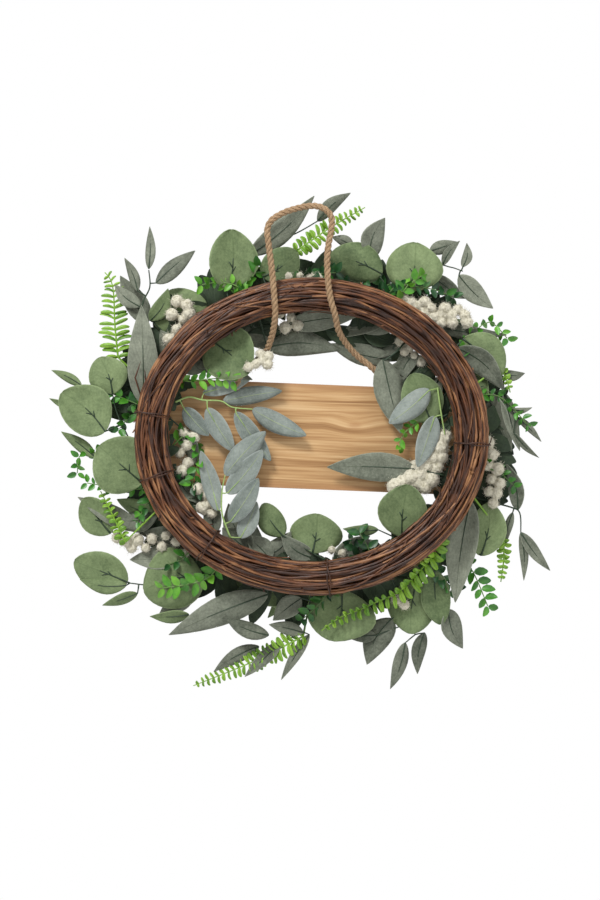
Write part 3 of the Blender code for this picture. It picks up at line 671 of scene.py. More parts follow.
def plan_point(place):
    """A place as x and z from the ring's centre and depth forward of its middle, in millimetres."""
    x, z, depth = place
    return RING_CENTRE + Vector((x, depth, z)) * 0.001


def form_leaf(work, kind, base, tip, width, shade, style, rows=14, columns=6):
    """One leaf, from a flat grid: pointed or round, cupped, arched and rippled. Returns its surface."""
    uv_layer = work.loops.layers.uv.verify()
    shade_layer = work.verts.layers.float["shade"]
    roll, cup, arch, bend, ripple = style
    along = tip - base
    length = along.length
    along.normalize()
    side = along.cross(Vector((0, -1, 0))).normalized()
    side = Matrix.Rotation(roll, 3, along) @ side
    normal = side.cross(along)
    widest = OUTLINE[kind]

    def surface(u, v):
        half = widest(u) * width / 2
        height = arch * math.sin(math.pi * u) * length
        height += cup * v * v * half + ripple * abs(v) * width * math.sin(9 * u + 3 * v + 40 * shade)
        across = v * half + bend * math.sin(math.pi * u) * width
        return base + along * (u * length) + side * across + normal * height

    grid = bmesh.ops.create_grid(work, x_segments=rows, y_segments=columns, size=0.5)["verts"]
    spots = {}
    for vert in grid:
        u = 0.5 - 0.5 * math.cos(math.pi * (vert.co.x + 0.5))
        v = vert.co.y * 2
        spots[vert] = (u, v)
        vert.co = surface(min(0.997, max(0.003, u)), v)
        vert[shade_layer] = shade
    for face in {face for vert in grid for face in vert.link_faces}:
        for loop in face.loops:
            u, v = spots[loop.vert]
            loop[uv_layer].uv = (u, v / 2 + 0.5)
    return surface


def formed_piece(name, work, finish):
    """The leaves formed in this mesh as one piece, with the map that runs along and across each."""
    mesh = bpy.data.meshes.new(name)
    work.to_mesh(mesh)
    work.free()
    mesh.uv_layers[0].name = "along"
    return piece(name, mesh, finish)


def new_form():
    """An empty mesh to form leaves in, with the number that sets each leaf's shade."""
    work = bmesh.new()
    work.verts.layers.float.new("shade")
    return work


def nearest_on(route, place):
    """The point of a line of points that is nearest to a place."""
    best = route[0]
    for one, two in zip(route, route[1:]):
        run = two - one
        share = min(1, max(0, (place - one).dot(run) / max(1e-12, run.length_squared)))
        if (one + run * share - place).length < (best - place).length:
            best = one + run * share
    return best


stem_routes, stem_shades = [], []


def add_stem(points, thick, thin, shade):
    """A moulded stem along these points, thinner towards its end."""
    last = len(points) - 1
    stem_routes.append([(point, thick + (thin - thick) * i / last) for i, point in enumerate(points)])
    stem_shades.append(shade)


def cloth_leaves(name, finish, stem, leaves, stem_shade=0.12):
    """A stem with its leaves, each on a petiole with its rib pressed into its back."""
    line = smooth_line([plan_point(place) for place in stem], 6)
    add_stem(line, 0.0011, 0.0006, stem_shade)
    work = new_form()
    for kind, base, tip, width in leaves:
        base, tip = plan_point(base), plan_point(tip)
        shade = draw.random()
        facing = draw.choice((-1, 1))
        turned = 0.5 if kind == "willow" and width < 30 else 0.2
        style = (
            draw.uniform(-turned, turned),
            facing * draw.uniform(0.10, 0.32),
            draw.uniform(-0.06, 0.06),
            draw.uniform(-0.5, 0.5) * turned,
            draw.uniform(0.008, 0.022),
        )
        full = width * 0.001 * (ROUND_FULLNESS if kind == "round" else 1.0)
        surface = form_leaf(work, kind, base, tip, full, shade, style)
        joint = nearest_on(line, base)
        reach, thick = RIB[kind]
        lifted = Vector((0, -0.0004, 0))
        near = 0.002 < (joint - base).length < 0.036
        start = [joint, joint.lerp(base, 0.5) + Vector((0, 0.0006, 0))] if near else []
        if reach:
            rib = start + [surface(reach * t / 5 + 0.004, 0) + lifted for t in range(6)]
            add_stem(rib, thick, thick * 0.4, stem_shade)
        elif start:
            stub = start + [surface(0.02, 0) + lifted, surface(0.3, 0) + lifted]
            add_stem(stub, 0.0009, 0.0004, stem_shade)
        if kind == "round" and width > 28:
            for at, sense in ((0.30, 1), (0.37, -1)):
                end = surface(at + 0.09, draw.uniform(0.12, 0.2) * sense) + lifted
                add_stem([surface(at, 0) + lifted, end], thick * 0.7, thick * 0.4, stem_shade)
    bmesh.ops.recalc_face_normals(work, faces=work.faces)
    made = formed_piece(name, work, finish)
    cloth = made.modifiers.new("cloth", "SOLIDIFY")
    cloth.thickness = LEAF_CLOTH
    cloth.offset = 0
    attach(made, "wreath")
    return made


# Each spray: its stem from its foot on the ring, as x, z and depth in millimetres, and then its
# leaves, as kind, base, tip and width. Sprays are pushed into the bundle and glued.
for name, finish, stem, leaves in (
    ("willow_sprig_top_left", grey,
     ((-146, 52, 18), (-165, 80, 26), (-169, 110, 26), (-167, 132, 25), (-160, 148, 25), (-161, 165, 25)),
     (("willow", (-161, 166, 25), (-160, 208, 24), 11),
      ("willow", (-154, 152, 25), (-115, 184, 23), 20),
      ("willow", (-172, 144, 25), (-185, 177, 24), 11),
      ("willow", (-170, 129, 28), (-195, 151, 29), 16))),
    ("long_leaf_spray_left", grey, ((-157, 8, 18), (-166, 31, 20)),
     (("willow", (-166, 31, 20), (-168, 130, 20), 31),)),
    ("round_leaf_spray_top_left", sage, ((-128, 80, 18), (-142, 98, 32), (-157, 114, 32)),
     (("round", (-157, 114, 33), (-104, 133, 32), 46),
      ("willow", (-160, 115, 30), (-142, 147, 28.5), 18))),
    ("round_leaf_top_left", sage, ((-79, 120, 18), (-84, 145, 22)),
     (("round", (-81, 145, 22), (-79, 205, 20), 45),)),
    ("willow_spray_top", grey,
     ((-57, 129, 18), (-60, 150, 31), (-62, 180, 33), (-49, 193, 34), (-20, 200, 34), (6, 214, 33)),
     (("willow", (-62, 180, 33), (3, 239, 30), 23),
      ("willow", (-49, 193, 36), (-19, 226, 37), 16),
      ("willow", (6, 214, 33), (39, 242, 31), 15))),
    ("round_leaf_pair_top_right", sage, ((80, 120, 18), (78, 140, 22), (68, 158, 22)),
     (("round", (70, 161, 22), (19, 181, 21), 36),
      ("round", (96, 144, 22), (103, 192, 20), 52))),
    ("willow_pair_top_right", grey, ((48, 132, 18), (52, 160, 28), (61, 178, 29)),
     (("willow", (58, 177, 29), (73, 217, 29), 25),
      ("willow", (42, 187, 29), (20, 198, 29), 12))),
    ("willow_sprig_top_right", grey,
     ((96, 110, 18), (100, 117, 33), (112, 140, 33), (124, 168, 29), (138, 168, 28), (150, 164, 28)),
     (("willow", (117, 184, 28), (145, 193, 28), 14),
      ("willow", (130, 170, 28), (147, 194, 26), 10),
      ("willow", (150, 168, 28), (154, 192, 28), 11),
      ("willow", (146, 160, 28), (180, 127, 27), 21),
      ("willow", (119, 160, 30), (153, 137, 32), 17))),
    ("leaf_spray_right_high", sage, ((131, 77, 18), (143, 89, 20), (150, 97, 24)),
     (("round", (150, 97, 24), (189, 62, 23), 40),
      ("willow", (146, 84, 26), (176, 42, 27), 22))),
    ("long_leaf_right_high", grey, ((136, 69, 18), (126, 98, 32), (126, 109, 32)),
     (("willow", (124, 109, 32), (194, 101, 31), 14),)),
    ("thin_leaf_spray_right", grey,
     ((150, 41, 18), (170, 50, 29), (189, 60, 31), (191, 48, 31), (197, 31, 31), (202, 20, 31),
      (201, 4, 31)),
     (("willow", (190, 63, 31), (212, 63, 31), 11),
      ("willow", (198, 27, 31), (219, 29, 31), 7),
      ("willow", (203, 20, 31), (228, -5, 30), 8),
      ("willow", (191, 44, 32), (207, -14, 33), 16),
      ("willow", (201, 4, 31), (226, -21, 30), 7),
      ("willow", (173, 46, 33), (199, -15, 36), 28))),
    ("round_leaf_right_low", sage, ((135, -72, 18), (158, -105, 27), (168, -118, 27)),
     (("round", (168, -118, 27), (177, -65, 26), 33),)),
    ("willow_sprig_right_low", grey,
     ((146, -52, 18), (168, -62, 33), (198, -70, 33), (207, -76, 33), (208, -95, 33)),
     (("willow", (205, -73, 33), (194, -27, 33), 16),
      ("willow", (200, -75, 33), (193, -107, 33), 9),
      ("willow", (208, -95, 33), (237, -133, 32), 13),
      ("willow", (208, -95, 33), (211, -143, 34), 9))),
    ("long_leaf_spray_bottom_right", grey, ((152, -36, 18), (157, -63, 20)),
     (("willow", (157, -63, 20), (142, -164, 19), 31),)),
    ("round_leaf_pair_bottom_right", sage, ((95, -110, 18), (104, -143, 21)),
     (("round", (104, -143, 21), (98, -195, 20), 44),
      ("round", (122, -133, 22), (128, -186, 23.5), 27))),
    ("willow_sprig_bottom_right", grey, ((72, -124, 18), (84, -150, 27), (96, -185, 27), (103, -196, 27)),
     (("willow", (80, -180, 28), (55, -226, 28), 29),
      ("willow", (64, -197, 28), (38, -200, 28), 13),
      ("willow", (93, -204, 27), (78, -250, 26), 16),
      ("willow", (112, -194, 27), (105, -235, 26), 15),
      ("willow", (136, -171, 28), (150, -210, 28), 24))),
    ("round_leaf_bottom", sage, ((35, -135, 18), (30, -151, 21)),
     (("round", (30, -151, 21), (20, -202, 19.5), 64),)),
    ("long_leaf_spray_bottom_left", grey, ((-45, -133, 18), (-43, -156, 20)),
     (("willow", (-43, -156, 20), (-141, -196, 19), 30),
      ("willow", (-42, -196, 17), (-86, -177, 15), 18))),
    ("round_leaf_bottom_left", sage, ((-93, -112, 18), (-107, -139, 21)),
     (("round", (-107, -139, 21), (-166, -152, 20), 56),
      ("willow", (-121, -176, 24), (-160, -178, 25), 15))),
    ("round_leaf_spray_left_low", sage,
     ((-104, -104, 18), (-118, -128, 27), (-150, -146, 27), (-180, -145, 25)),
     (("round", (-182, -144, 25), (-235, -123, 25), 36),
      ("willow", (-183, -147, 22), (-229, -141, 20), 16),
      ("willow", (-172, -155, 25), (-207, -167, 25), 13))),
    ("round_leaf_pair_left_low", sage, ((-145, -56, 18), (-155, -77, 30), (-180, -88, 31), (-198, -95, 29)),
     (("round", (-199, -96, 29), (-226, -61, 28), 31),
      ("willow", (-157, -76, 31), (-193, -62, 30), 20))),
    ("round_leaf_left", sage, ((-151, -38, 18), (-167, -46, 21)),
     (("round", (-167, -46, 21), (-210, -9, 20), 56),
      ("willow", (-214, -20, 26), (-248, 5, 27), 13))),
    ("round_leaf_pair_left", sage,
     ((-157, -14, 18), (-175, -12, 31), (-182, 0, 31), (-193, 24, 31), (-197, 41, 30)),
     (("round", (-204, 5, 24), (-247, 44, 23), 46),
      ("round", (-197, 42, 30), (-210, 79, 30), 37),
      ("willow", (-228, 51, 31), (-258, 66, 31), 10),
      ("willow", (-236, 29, 30), (-260, 38, 31), 8))),
    ("round_leaf_inner_left", sage, ((-112, 92, 18), (-101, 97, 19)),
     (("round", (-101, 96, 16), (-61, 62, 1), 50),)),
    ("leaf_pair_inner_top", grey, ((-52, 119, 17.8), (-48, 105, 19.5), (-44, 88, 20)),
     (("willow", (-23, 110, 19.5), (46, 119, 18.6), 23),
      ("willow", (-44, 88, 20), (28, 85, 19.5), 26))),
    ("dark_leaf_inner_right", grey, ((86, 103, 18), (79, 82, 22.5)),
     (("willow", (79, 76, 22.5), (17, 92, 24), 22),)),
    ("grey_leaf_inner_right", grey, ((92, 93, 16.5), (84, 84, 10), (72, 75, 8)),
     (("willow", (70, 76, 8), (88, 3, 9), 30),)),
    ("round_leaf_inner_right", sage, ((134, 22, 14), (118, 14, 13)),
     (("round", (118, 14, 13), (99, 62, 10.5), 38),)),
    ("light_sprig_inner_right", dusted, ((124, 48, 8), (127, 26, 7), (131, 2, 7)),
     (("light", (116, 46, 6), (76, 13, 4), 23),
      ("light", (121, 20, 6), (104, -30, 4), 21))),
    ("long_leaf_inner_right_low", grey, ((130, -38, 9), (100, -31, 9)),
     (("willow", (102, -32, 9), (15, -30, 13), 29),)),
    ("round_leaf_inner_right_low", sage, ((80, -112, 17.5), (87, -97, 19)),
     (("round", (89, -99, 17), (95, -47, 3), 45),
      ("willow", (66, -92, 20), (31, -91, 20), 11))),
    ("round_leaf_inner_bottom", sage, ((26, -128, 17), (1, -115, 18.5), (-20, -103, 20)),
     (("round", (1, -115, 18.5), (6, -76, 17.5), 48),
      ("round", (-28, -98, 20), (-48, -66, 20), 24))),
    ("light_sprig_inner_left_low", dusted, ((-80, -99, 10), (-88, -76, 10), (-88, -54, 10), (-85, -38, 9)),
     (("light", (-92, -73, 10), (-109, -14, 9), 18),
      ("light", (-85, -38, 9), (-45, 5, 6), 22),
      ("light", (-83, -56, 11), (-48, -13, 10), 22),
      ("light", (-80, -84, 10), (-52, -41, 8), 21),
      ("light", (-70, -100, 10), (-54, -64, 9), 19))),
    ("light_sprig_inner_left_high", dusted,
     ((-134, 34, 13), (-121, 39, 14), (-107, 36, 14), (-89, 35, 14), (-78, 29, 14), (-58, 27, 14)),
     (("light", (-126, 28, 14), (-101, 1, 14), 18),
      ("light", (-103, 28, 14), (-76, -15, 14), 20),
      ("light", (-75, 24, 14), (-40, -24, 15), 19),
      ("light", (-58, 27, 14), (-5, 1, 13), 20),
      ("light", (-107, 43, 16), (-60, 57, 17), 14),
      ("light", (-87, 35, 14), (-29, 45, 15), 18))),
):
    pale = finish is dusted
    made = cloth_leaves(f"{name}_leaves", finish, stem, leaves, 0.85 if pale else 0.12)
    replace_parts(made, name)

# More sprays of the same leaves are pushed in between these, on the inside and the outside of the
# ring. They are small, and where they stand deep they wear the dark cloth, with the shade there painted in.
for name, finish, stem, leaves in (
    ("round_leaf_top_middle", sage,
     ((-40, 135.5, 18), (-48, 158, 22)), (("round", (-48, 158, 22), (-14, 183, 21), 34),)),
    ("leaf_behind_left_fern", grey, ((-150, 46, 18), (-160, 90, 34)),
     (("willow", (-163, 112, 34), (-190, 160, 34), 24), ("willow", (-138, 74, 30), (-150, 106, 32), 22))),
    ("leaves_inner_top", grey, ((-66, 118, 18), (-60, 110, 22)),
     (("willow", (-92, 112, 22), (-40, 96, 24), 22), ("willow", (-70, 104, 23), (-34, 84, 24), 18),
      ("willow", (70, 112, 22), (28, 98, 24), 20), ("willow", (92, 98, 22), (52, 76, 23), 22),
      ("willow", (104, 84, 20), (88, 52, 18), 20), ("willow", (84, 110, 22), (38, 106, 23), 18),
      ("willow", (112, 76, 20), (78, 70, 18), 24), ("willow", (126, 58, 19), (104, 30, 18), 22))),
    ("leaves_inner_bottom", grey, ((-40, -124, 18), (-34, -118, 20)),
     (("willow", (2, -120, 21), (-30, -96, 21), 20), ("willow", (-66, -104, 21), (-82, -66, 20), 22),
      ("willow", (-52, -118, 21), (-62, -76, 20), 24), ("willow", (-96, -96, 20), (-96, -58, 19), 18),
      ("willow", (22, -124, 22), (58, -98, 23), 22), ("willow", (70, -112, 22), (40, -102, 23), 18))),
    ("leaves_outer_left", grey, ((-152, -34, 18), (-160, -60, 30)),
     (("willow", (-152, -76, 30), (-198, -82, 30), 24), ("willow", (-170, -92, 31), (-232, -60, 31), 20),
      ("willow", (-128, -116, 28), (-180, -122, 28), 26),
      ("willow", (-118, -160, 28), (-152, -178, 28), 20),
      ("willow", (-118, -108, 28), (-168, -94, 28), 22))),
    ("fern_bottom_companions", grey, ((2, -140, 18), (-2, -165, 24), (-8, -194, 28)),
     (("willow", (-52, -208, 32), (-97, -233, 29), 15), ("willow", (-30, -204, 31), (-66, -238, 28), 14),
      ("willow", (-2, -196, 30), (-30, -241, 27), 11), ("willow", (-10, -160, 27), (-38, -182, 25), 22),
      ("willow", (-8, -194, 26), (-42, -186, 26), 14))),
    ("dark_leaves_inner_left", grey, ((-142, 20, 17.5), (-128, 8, 19)),
     (("willow", (-128, 8, 19), (-112, -30, 19), 18), ("willow", (-134, -34, 19), (-110, -66, 19), 18))),
    ("dark_leaves_inner_top_left", grey, ((-110, 96, 17.5), (-100, 86, 20)),
     (("willow", (-118, 84, 19), (-84, 66, 18), 20), ("willow", (-104, 66, 17), (-58, 56, 15), 16),
      ("willow", (-128, 66, 18), (-96, 76, 18), 20))),
    # These stand deep among the others and wear the dark cloth, with painted shade.
    ("dark_leaves_inner_top", shadow, ((-62, 118, 18), (-58, 106, 23)),
     (("willow", (-64, 100, 24), (-10, 98, 25), 22), ("willow", (-26, 106, 25), (30, 97, 26), 20),
      ("willow", (14, 106, 25), (66, 92, 26), 22), ("willow", (60, 98, 25), (98, 78, 24), 22),
      ("willow", (-62, 118, 25), (-30, 106, 25), 20), ("willow", (50, 109, 25), (88, 94, 25), 22))),
    ("dark_leaves_inner_right", shadow, ((136, 44, 17.5), (128, 40, 18)),
     (("willow", (132, 42, 17), (112, 8, 17), 22), ("willow", (136, 12, 17), (116, -10, 17), 18),
      ("willow", (122, 72, 19), (98, 54, 17), 22), ("willow", (108, 66, 17), (86, 44, 15), 18))),
    ("grey_leaf_right_high", grey, ((140, 82, 18), (144, 88, 20)),
     (("willow", (144, 88, 20), (190, 46, 18), 25),)),
    ("dark_leaf_inner_low", grey, ((-62, -126, 18), (-60, -114, 18.5)),
     (("willow", (-60, -114, 18.5), (-88, -90, 18.5), 30),
      ("willow", (-40, -122, 18.5), (-64, -98, 18.5), 24),
      ("willow", (-46, -118, 21), (-20, -94, 22), 22))),
):
    made = cloth_leaves(f"{name}_leaves", finish, stem, leaves)


# Over the ring's front, above and below the board, more sprays lie along the bundle and hide it. Each
# is a stem that follows the bundle, with round leaves that lean forward and willow leaves that lean back.
FRONT_DEPTH = 44
FRONT_LEAVES, FRONT_RUN = 12, 44
for name, foot_angle in (
    ("front_spray_top_right", 38),
    ("front_spray_top_left", 96),
    ("front_spray_bottom_left", 219),
    ("front_spray_bottom_right", 280),
):
    at = math.radians(foot_angle)
    foot = Vector((RING_HALF_WIDTH * math.cos(at), 0, RING_HALF_HEIGHT * math.sin(at))) * 1000
    stem = [(foot.x, foot.z, 18), (foot.x * 1.02, foot.z * 1.02, FRONT_DEPTH)]
    leaves = []
    for step in range(1, FRONT_LEAVES + 1):
        along = math.radians(foot_angle + FRONT_RUN * step / FRONT_LEAVES)
        spot = Vector((RING_HALF_WIDTH * math.cos(along), 0, RING_HALF_HEIGHT * math.sin(along))) * 1030
        if step % 2 == 0:
            stem.append((spot.x, spot.z, FRONT_DEPTH))
        odd = step % 2
        heading = along + (draw.uniform(0.5, 1.2) if odd else draw.uniform(-1.0, -0.2))
        tip = spot + Vector((math.cos(heading), 0, math.sin(heading))) * (38 if odd else 46)
        kind, width = ("round", 33) if odd else ("willow", 19)
        lift = draw.uniform(2, 14)
        leaves.append((kind, (spot.x, spot.z, FRONT_DEPTH), (tip.x, tip.z, FRONT_DEPTH + lift), width))
    made = cloth_leaves(f"{name}_leaves", sage, stem, leaves)
    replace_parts(made, name)


# Short leaves of the same cloth, dark green with painted shade, are stuck in all round the ring's sides, so
# that no wall shows between the others. Those behind the board lie close to the ring, to let it swing.
FILLER_LEAVES = 330
INWARD_SHARE = 0.42
BEHIND_BOARD = 62
filler = new_form()
for number in range(FILLER_LEAVES):
    angle = draw.uniform(0, math.tau)
    inward = draw.random() < INWARD_SHARE
    spot = Vector((RING_HALF_WIDTH * math.cos(angle), 0, RING_HALF_HEIGHT * math.sin(angle))) * 1000
    spot *= 0.97 if inward else 1.05
    heading = angle + draw.uniform(-1.1, 1.1) + (math.pi if inward else 0)
    reach = draw.uniform(14, 26) if inward else draw.uniform(24, 50)
    tip = spot + Vector((math.cos(heading), 0, math.sin(heading))) * reach
    width = reach * draw.uniform(0.36, 0.62)
    if inward and abs(tip.z) < BEHIND_BOARD:
        depth, roll = draw.uniform(16.5, 18.5), 0.2
    else:
        depth, roll = draw.uniform(21, 25) if inward else draw.uniform(35, 44), 0.5
    style = (draw.uniform(-roll, roll), draw.uniform(-0.3, 0.3), draw.uniform(-0.1, 0.1), 0.0, 0.02)
    form_leaf(
        filler,
        draw.choice(("round", "round", "light")),
        plan_point((spot.x, spot.z, depth)),
        plan_point((tip.x, tip.z, depth + draw.uniform(-2, 1))),
        width * 0.001,
        draw.random(),
        style,
        rows=10,
        columns=4,
    )
# The fillers wear the dark cloth, which paints the shade deep among the leaves onto them.
filler_leaves = formed_piece("filler_leaves", filler, shadow)
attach(filler_leaves, "wreath")


# Ferns are moulded plastic, bright lime green: a stiff rib with round-ended leaflets in pairs, which
# shrink towards its tip.
fern_finish = Finish("moulded_fern", 0.42)
fern_own = fern_finish.own("shade")
fern_grain = fern_finish.noise(fern_finish.place(), 260.0, 2)
fern_map = fern_finish.across()
fern_side = (fern_finish.split(fern_map, 1) * 2 - 1).abs()
fern_tone = (fern_own * 0.6 + fern_grain * 0.7 - 0.15).least(1.0).most(0.0)
fern_colour = fern_finish.blend(fern_tone, srgb(66, 116, 20), srgb(148, 190, 60))
fern_colour = fern_finish.blend((1 - fern_side.ramp(0.0, 0.25)) * 0.35, fern_colour, srgb(56, 112, 24))
fern_finish.paint(fern_colour, 0.35 + fern_grain * 0.2, 1 - fern_side.ramp(0.0, 0.3), 0.0003)
fern_routes = []


def fern(name, foot, points, width, spacing=5.4, leaflet=5.6, lean=(1.0, 1.0)):
    """A frond along a line, with a leaflet each side at every step, less seen on the side it leans from."""
    line = even(smooth_line([plan_point(place) for place in points], 10), spacing * 0.001)
    rib = [plan_point(place) for place in foot] + [place for place, at in line]
    ribs = [(point, 0.0011 - 0.0006 * i / len(rib)) for i, point in enumerate(rib)]
    fern_routes.append(ribs)
    work = new_form()
    for i, (place, at) in enumerate(line[:-1]):
        t = i / len(line)
        ahead = (line[i + 1][0] - place).normalized()
        out = ahead.cross(Vector((0, -1, 0))).normalized()
        reach = width * 0.0005 * min(1.0, 0.75 + 2.5 * t) * (1 - t**2.2) ** 0.8 + 0.0010
        for sense, share in zip((-1, 1), lean):
            turned = out * sense * share + Vector((0, -math.sqrt(max(0.0, 1 - share * share)), 0))
            heading = (turned + ahead * draw.uniform(0.1, 0.4)).normalized()
            tip = place + heading * reach * draw.uniform(0.85, 1.08)
            wide = leaflet * 0.001 * (1 - 0.55 * t) * draw.uniform(0.8, 1.15)
            style = (draw.uniform(-0.8, 0.8), 0.35, 0.08, -0.22 * sense, 0.0)
            form_leaf(work, "pinna", place, tip, wide, draw.random(), style, rows=6, columns=2)
    bmesh.ops.recalc_face_normals(work, faces=work.faces)
    made = formed_piece(name, work, fern_finish.material)
    thick = made.modifiers.new("moulded", "SOLIDIFY")
    thick.thickness = 0.0007
    thick.offset = 0
    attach(made, "wreath")
    return made


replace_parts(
    fern("fern_top", ((-26, 137, 18), (-22, 162, 26)), ((-15, 184, 27), (20, 208, 27), (53, 227, 26)), 20),
    "fern_frond_top",
)
fern("fern_top_low", ((-24, 140, 18),), ((-20, 155, 26), (-36, 166, 27), (-52, 172, 27)), 18)
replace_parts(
    fern(
        "fern_bottom_right",
        ((124, -85, 18),),
        ((125, -100, 17), (118, -119, 15), (102, -137, 14), (86, -153, 13), (66, -162, 12), (46, -171, 12),
         (28, -178, 12), (10, -191, 12)),
        29,
        7.2,
        7.4,
        (1.0, 0.45),
    ),
    "fern_frond_bottom_right",
)
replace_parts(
    fern(
        "fern_bottom",
        ((2, -139, 18), (-2, -165, 29)),
        ((-8, -198, 30), (-60, -224, 30), (-117, -247, 30)),
        23,
        5.4,
    ),
    "fern_frond_bottom",
)
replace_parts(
    fern(
        "fern_left",
        ((-151, 33, 18), (-172, 60, 31)),
        ((-192, 79, 33), (-194, 98, 33), (-195.5, 117, 33), (-196, 135, 33), (-197.5, 150, 33),
         (-201, 159, 32), (-205, 163, 31)),
        32,
        5.6,
        5.0,
    ),
    "fern_frond_left",
)
for name, foot, points, width in (
    ("fern_left_low", ((-141, -62, 18), (-165, -85, 17)),
     ((-184, -104, 16), (-196, -78, 17), (-208, -54, 17)), 15),
    ("fern_right", ((160, 50, 18),), ((186, 70, 28), (193, 58, 28), (197, 44, 28)), 10),
    ("fern_right_low", ((160, -60, 18), (180, -85, 30)),
     ((191, -101, 32), (191, -122, 32), (188, -144, 31)), 13),
):
    fern(name, foot, points, width)


# Boxwood picks are moulded too: thin stems with small oval leaves in pairs, some bright, some dark.
box_finish = Finish("moulded_boxwood", 0.4)
box_own = box_finish.own("shade")
box_grain = box_finish.noise(box_finish.place(), 200.0, 2)
box_tone = (box_own + box_grain * 0.4 - 0.2).least(1.0).most(0.0)
box_colour = box_finish.node(
    "ShaderNodeValToRGB",
    {
        "stops": (
            (0.0, srgb(16, 40, 26)),
            (0.3, srgb(30, 76, 34)),
            (0.62, srgb(66, 132, 36)),
            (1.0, srgb(118, 178, 54)),
        )
    },
    {"Fac": box_tone},
)
box_finish.paint(box_colour, 0.35 + box_grain * 0.15, box_grain, 0.0003)


def boxwood_pick(work, points, size, bright, gap=8.0):
    """A thin stem with a pair of small leaves at every gap along it, the last pair at its tip."""
    line = even(smooth_line([plan_point(place) for place in points], 8), gap * 0.001)
    add_stem([place for place, at in line], 0.0008, 0.0005, 0.35 + 0.35 * bright)
    for i, (place, at) in enumerate(line[1:], 1):
        ahead = (place - line[i - 1][0]).normalized()
        out = ahead.cross(Vector((0, -1, 0))).normalized()
        turn = Matrix.Rotation(draw.uniform(-1.2, 1.2), 3, ahead)
        for sense in (-1, 1):
            heading = (turn @ out * sense + ahead * draw.uniform(0.3, 0.9)).normalized()
            long = size * 0.0014 * draw.uniform(0.8, 1.2)
            shade = min(1.0, max(0.0, bright + draw.uniform(-0.16, 0.16)))
            style = (draw.uniform(-0.7, 0.7), 0.3, 0.06, 0.0, 0.0)
            start = place + heading * 0.0008
            form_leaf(work, "light", start, start + heading * long, long * 0.62, shade, style, 5, 4)


boxwood, fixed_pick = new_form(), new_form()
boxwood_pick(fixed_pick, ((118, -92, 18), (140, -120, 31), (158, -130, 32), (175, -168, 32)), 9, 0.55, 9)
for points, size, bright in (
    (((86, 128, 17.5), (92, 146, 16), (108, 158, 15)), 8, 0.7),
    (((60, 132, 18), (74, 150, 27), (104, 156, 28)), 8, 0.35),
    (((-86, -117, 17.5), (-100, -138, 15), (-125, -146, 14), (-146, -149, 14)), 9, 0.75),
    (((-60, 138, 18), (-76, 150, 20), (-96, 152, 19), (-108, 150, 18)), 7, 0.75),
    (((-150, 22, 18), (-172, 32, 31), (-196, 42, 31)), 8, 0.5),
    (((-150, 20, 18), (-176, 22, 25), (-190, 8, 26)), 8, 0.45),
    (((-152, -20, 18), (-186, -22, 27), (-226, -16, 28), (-232, -36, 28)), 7, 0.6),
    (((-145, -48, 18), (-178, -52, 27), (-222, -46, 28)), 6, 0.6),
    (((-134, 58, 11), (-120, 54, 8), (-98, 57, 6), (-78, 55, 5)), 7, 0.8),
    (((-138, -10, 18), (-122, 2, 17), (-112, -20, 17), (-118, -46, 17)), 8, 0.6),
    (((-136, -30, 18), (-124, -40, 18), (-110, -52, 18)), 8, 0.25),
    (((40, -132, 18), (46, -118, 18), (38, -104, 18)), 8, 0.2),
    (((60, -126, 18), (56, -110, 18), (48, -96, 18)), 8, 0.2),
    (((142, 66, 17), (156, 96, 30), (176, 114, 31), (194, 98, 31)), 7, 0.65),
    (((154, 40, 18), (186, 40, 27), (214, 12, 27)), 6, 0.5),
    (((156, -20, 18), (180, -30, 25), (200, -48, 26)), 6, 0.4),
    (((118, 22, 14), (102, 12, 13), (90, 2, 12), (87, -10, 12)), 6, 0.7),
    (((20, -140, 18), (12, -160, 22), (-8, -180, 23)), 8, 0.3),
    (((100, -112, 18), (118, -130, 24), (140, -150, 25)), 8, 0.3),
    (((-20, 140, 18), (-6, 158, 21), (24, 162, 21)), 8, 0.25),
    (((-74, 130, 18), (-66, 146, 20), (-52, 168, 20)), 8, 0.6),
    (((-118, -112, 18), (-130, -122, 20), (-140, -126, 20)), 8, 0.4),
    (((-150, -50, 18), (-166, -72, 22), (-172, -84, 24)), 8, 0.5),
    (((72, 134, 18), (84, 148, 20), (118, 146, 20), (140, 138, 22)), 8, 0.3),
    (((30, 136, 18), (40, 152, 29), (58, 158, 30)), 8, 0.3),
):
    boxwood_pick(boxwood, points, size, bright)
for name, work, nodes in (
    ("boxwood_bottom_right", fixed_pick, ("boxwood_pick_bottom_right",)),
    ("boxwood_picks", boxwood, ()),
):
    made = formed_piece(name, work, box_finish.material)
    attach(made, "wreath")
    if nodes:
        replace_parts(made, *nodes)


# Tufts of cream fibre stand in for seed heads. Each is a loose ball of teased fibre; its thin stem is not
# drawn.
fluff_finish = Finish("cream_fibre", 0.97, Sheen_Weight=0.3)
fluff_place = fluff_finish.place()
fluff_noise = fluff_finish.noise(fluff_place, 330.0, 4, 0.65)
fluff_colour = fluff_finish.blend(fluff_noise.ramp(0.25, 0.6), srgb(158, 152, 128), srgb(208, 203, 184))
fluff_finish.paint(fluff_colour, None, fluff_noise, 0.0005)


LUMPS_ON_A_TUFT, HAIRS_ON_A_TUFT = 7, 110


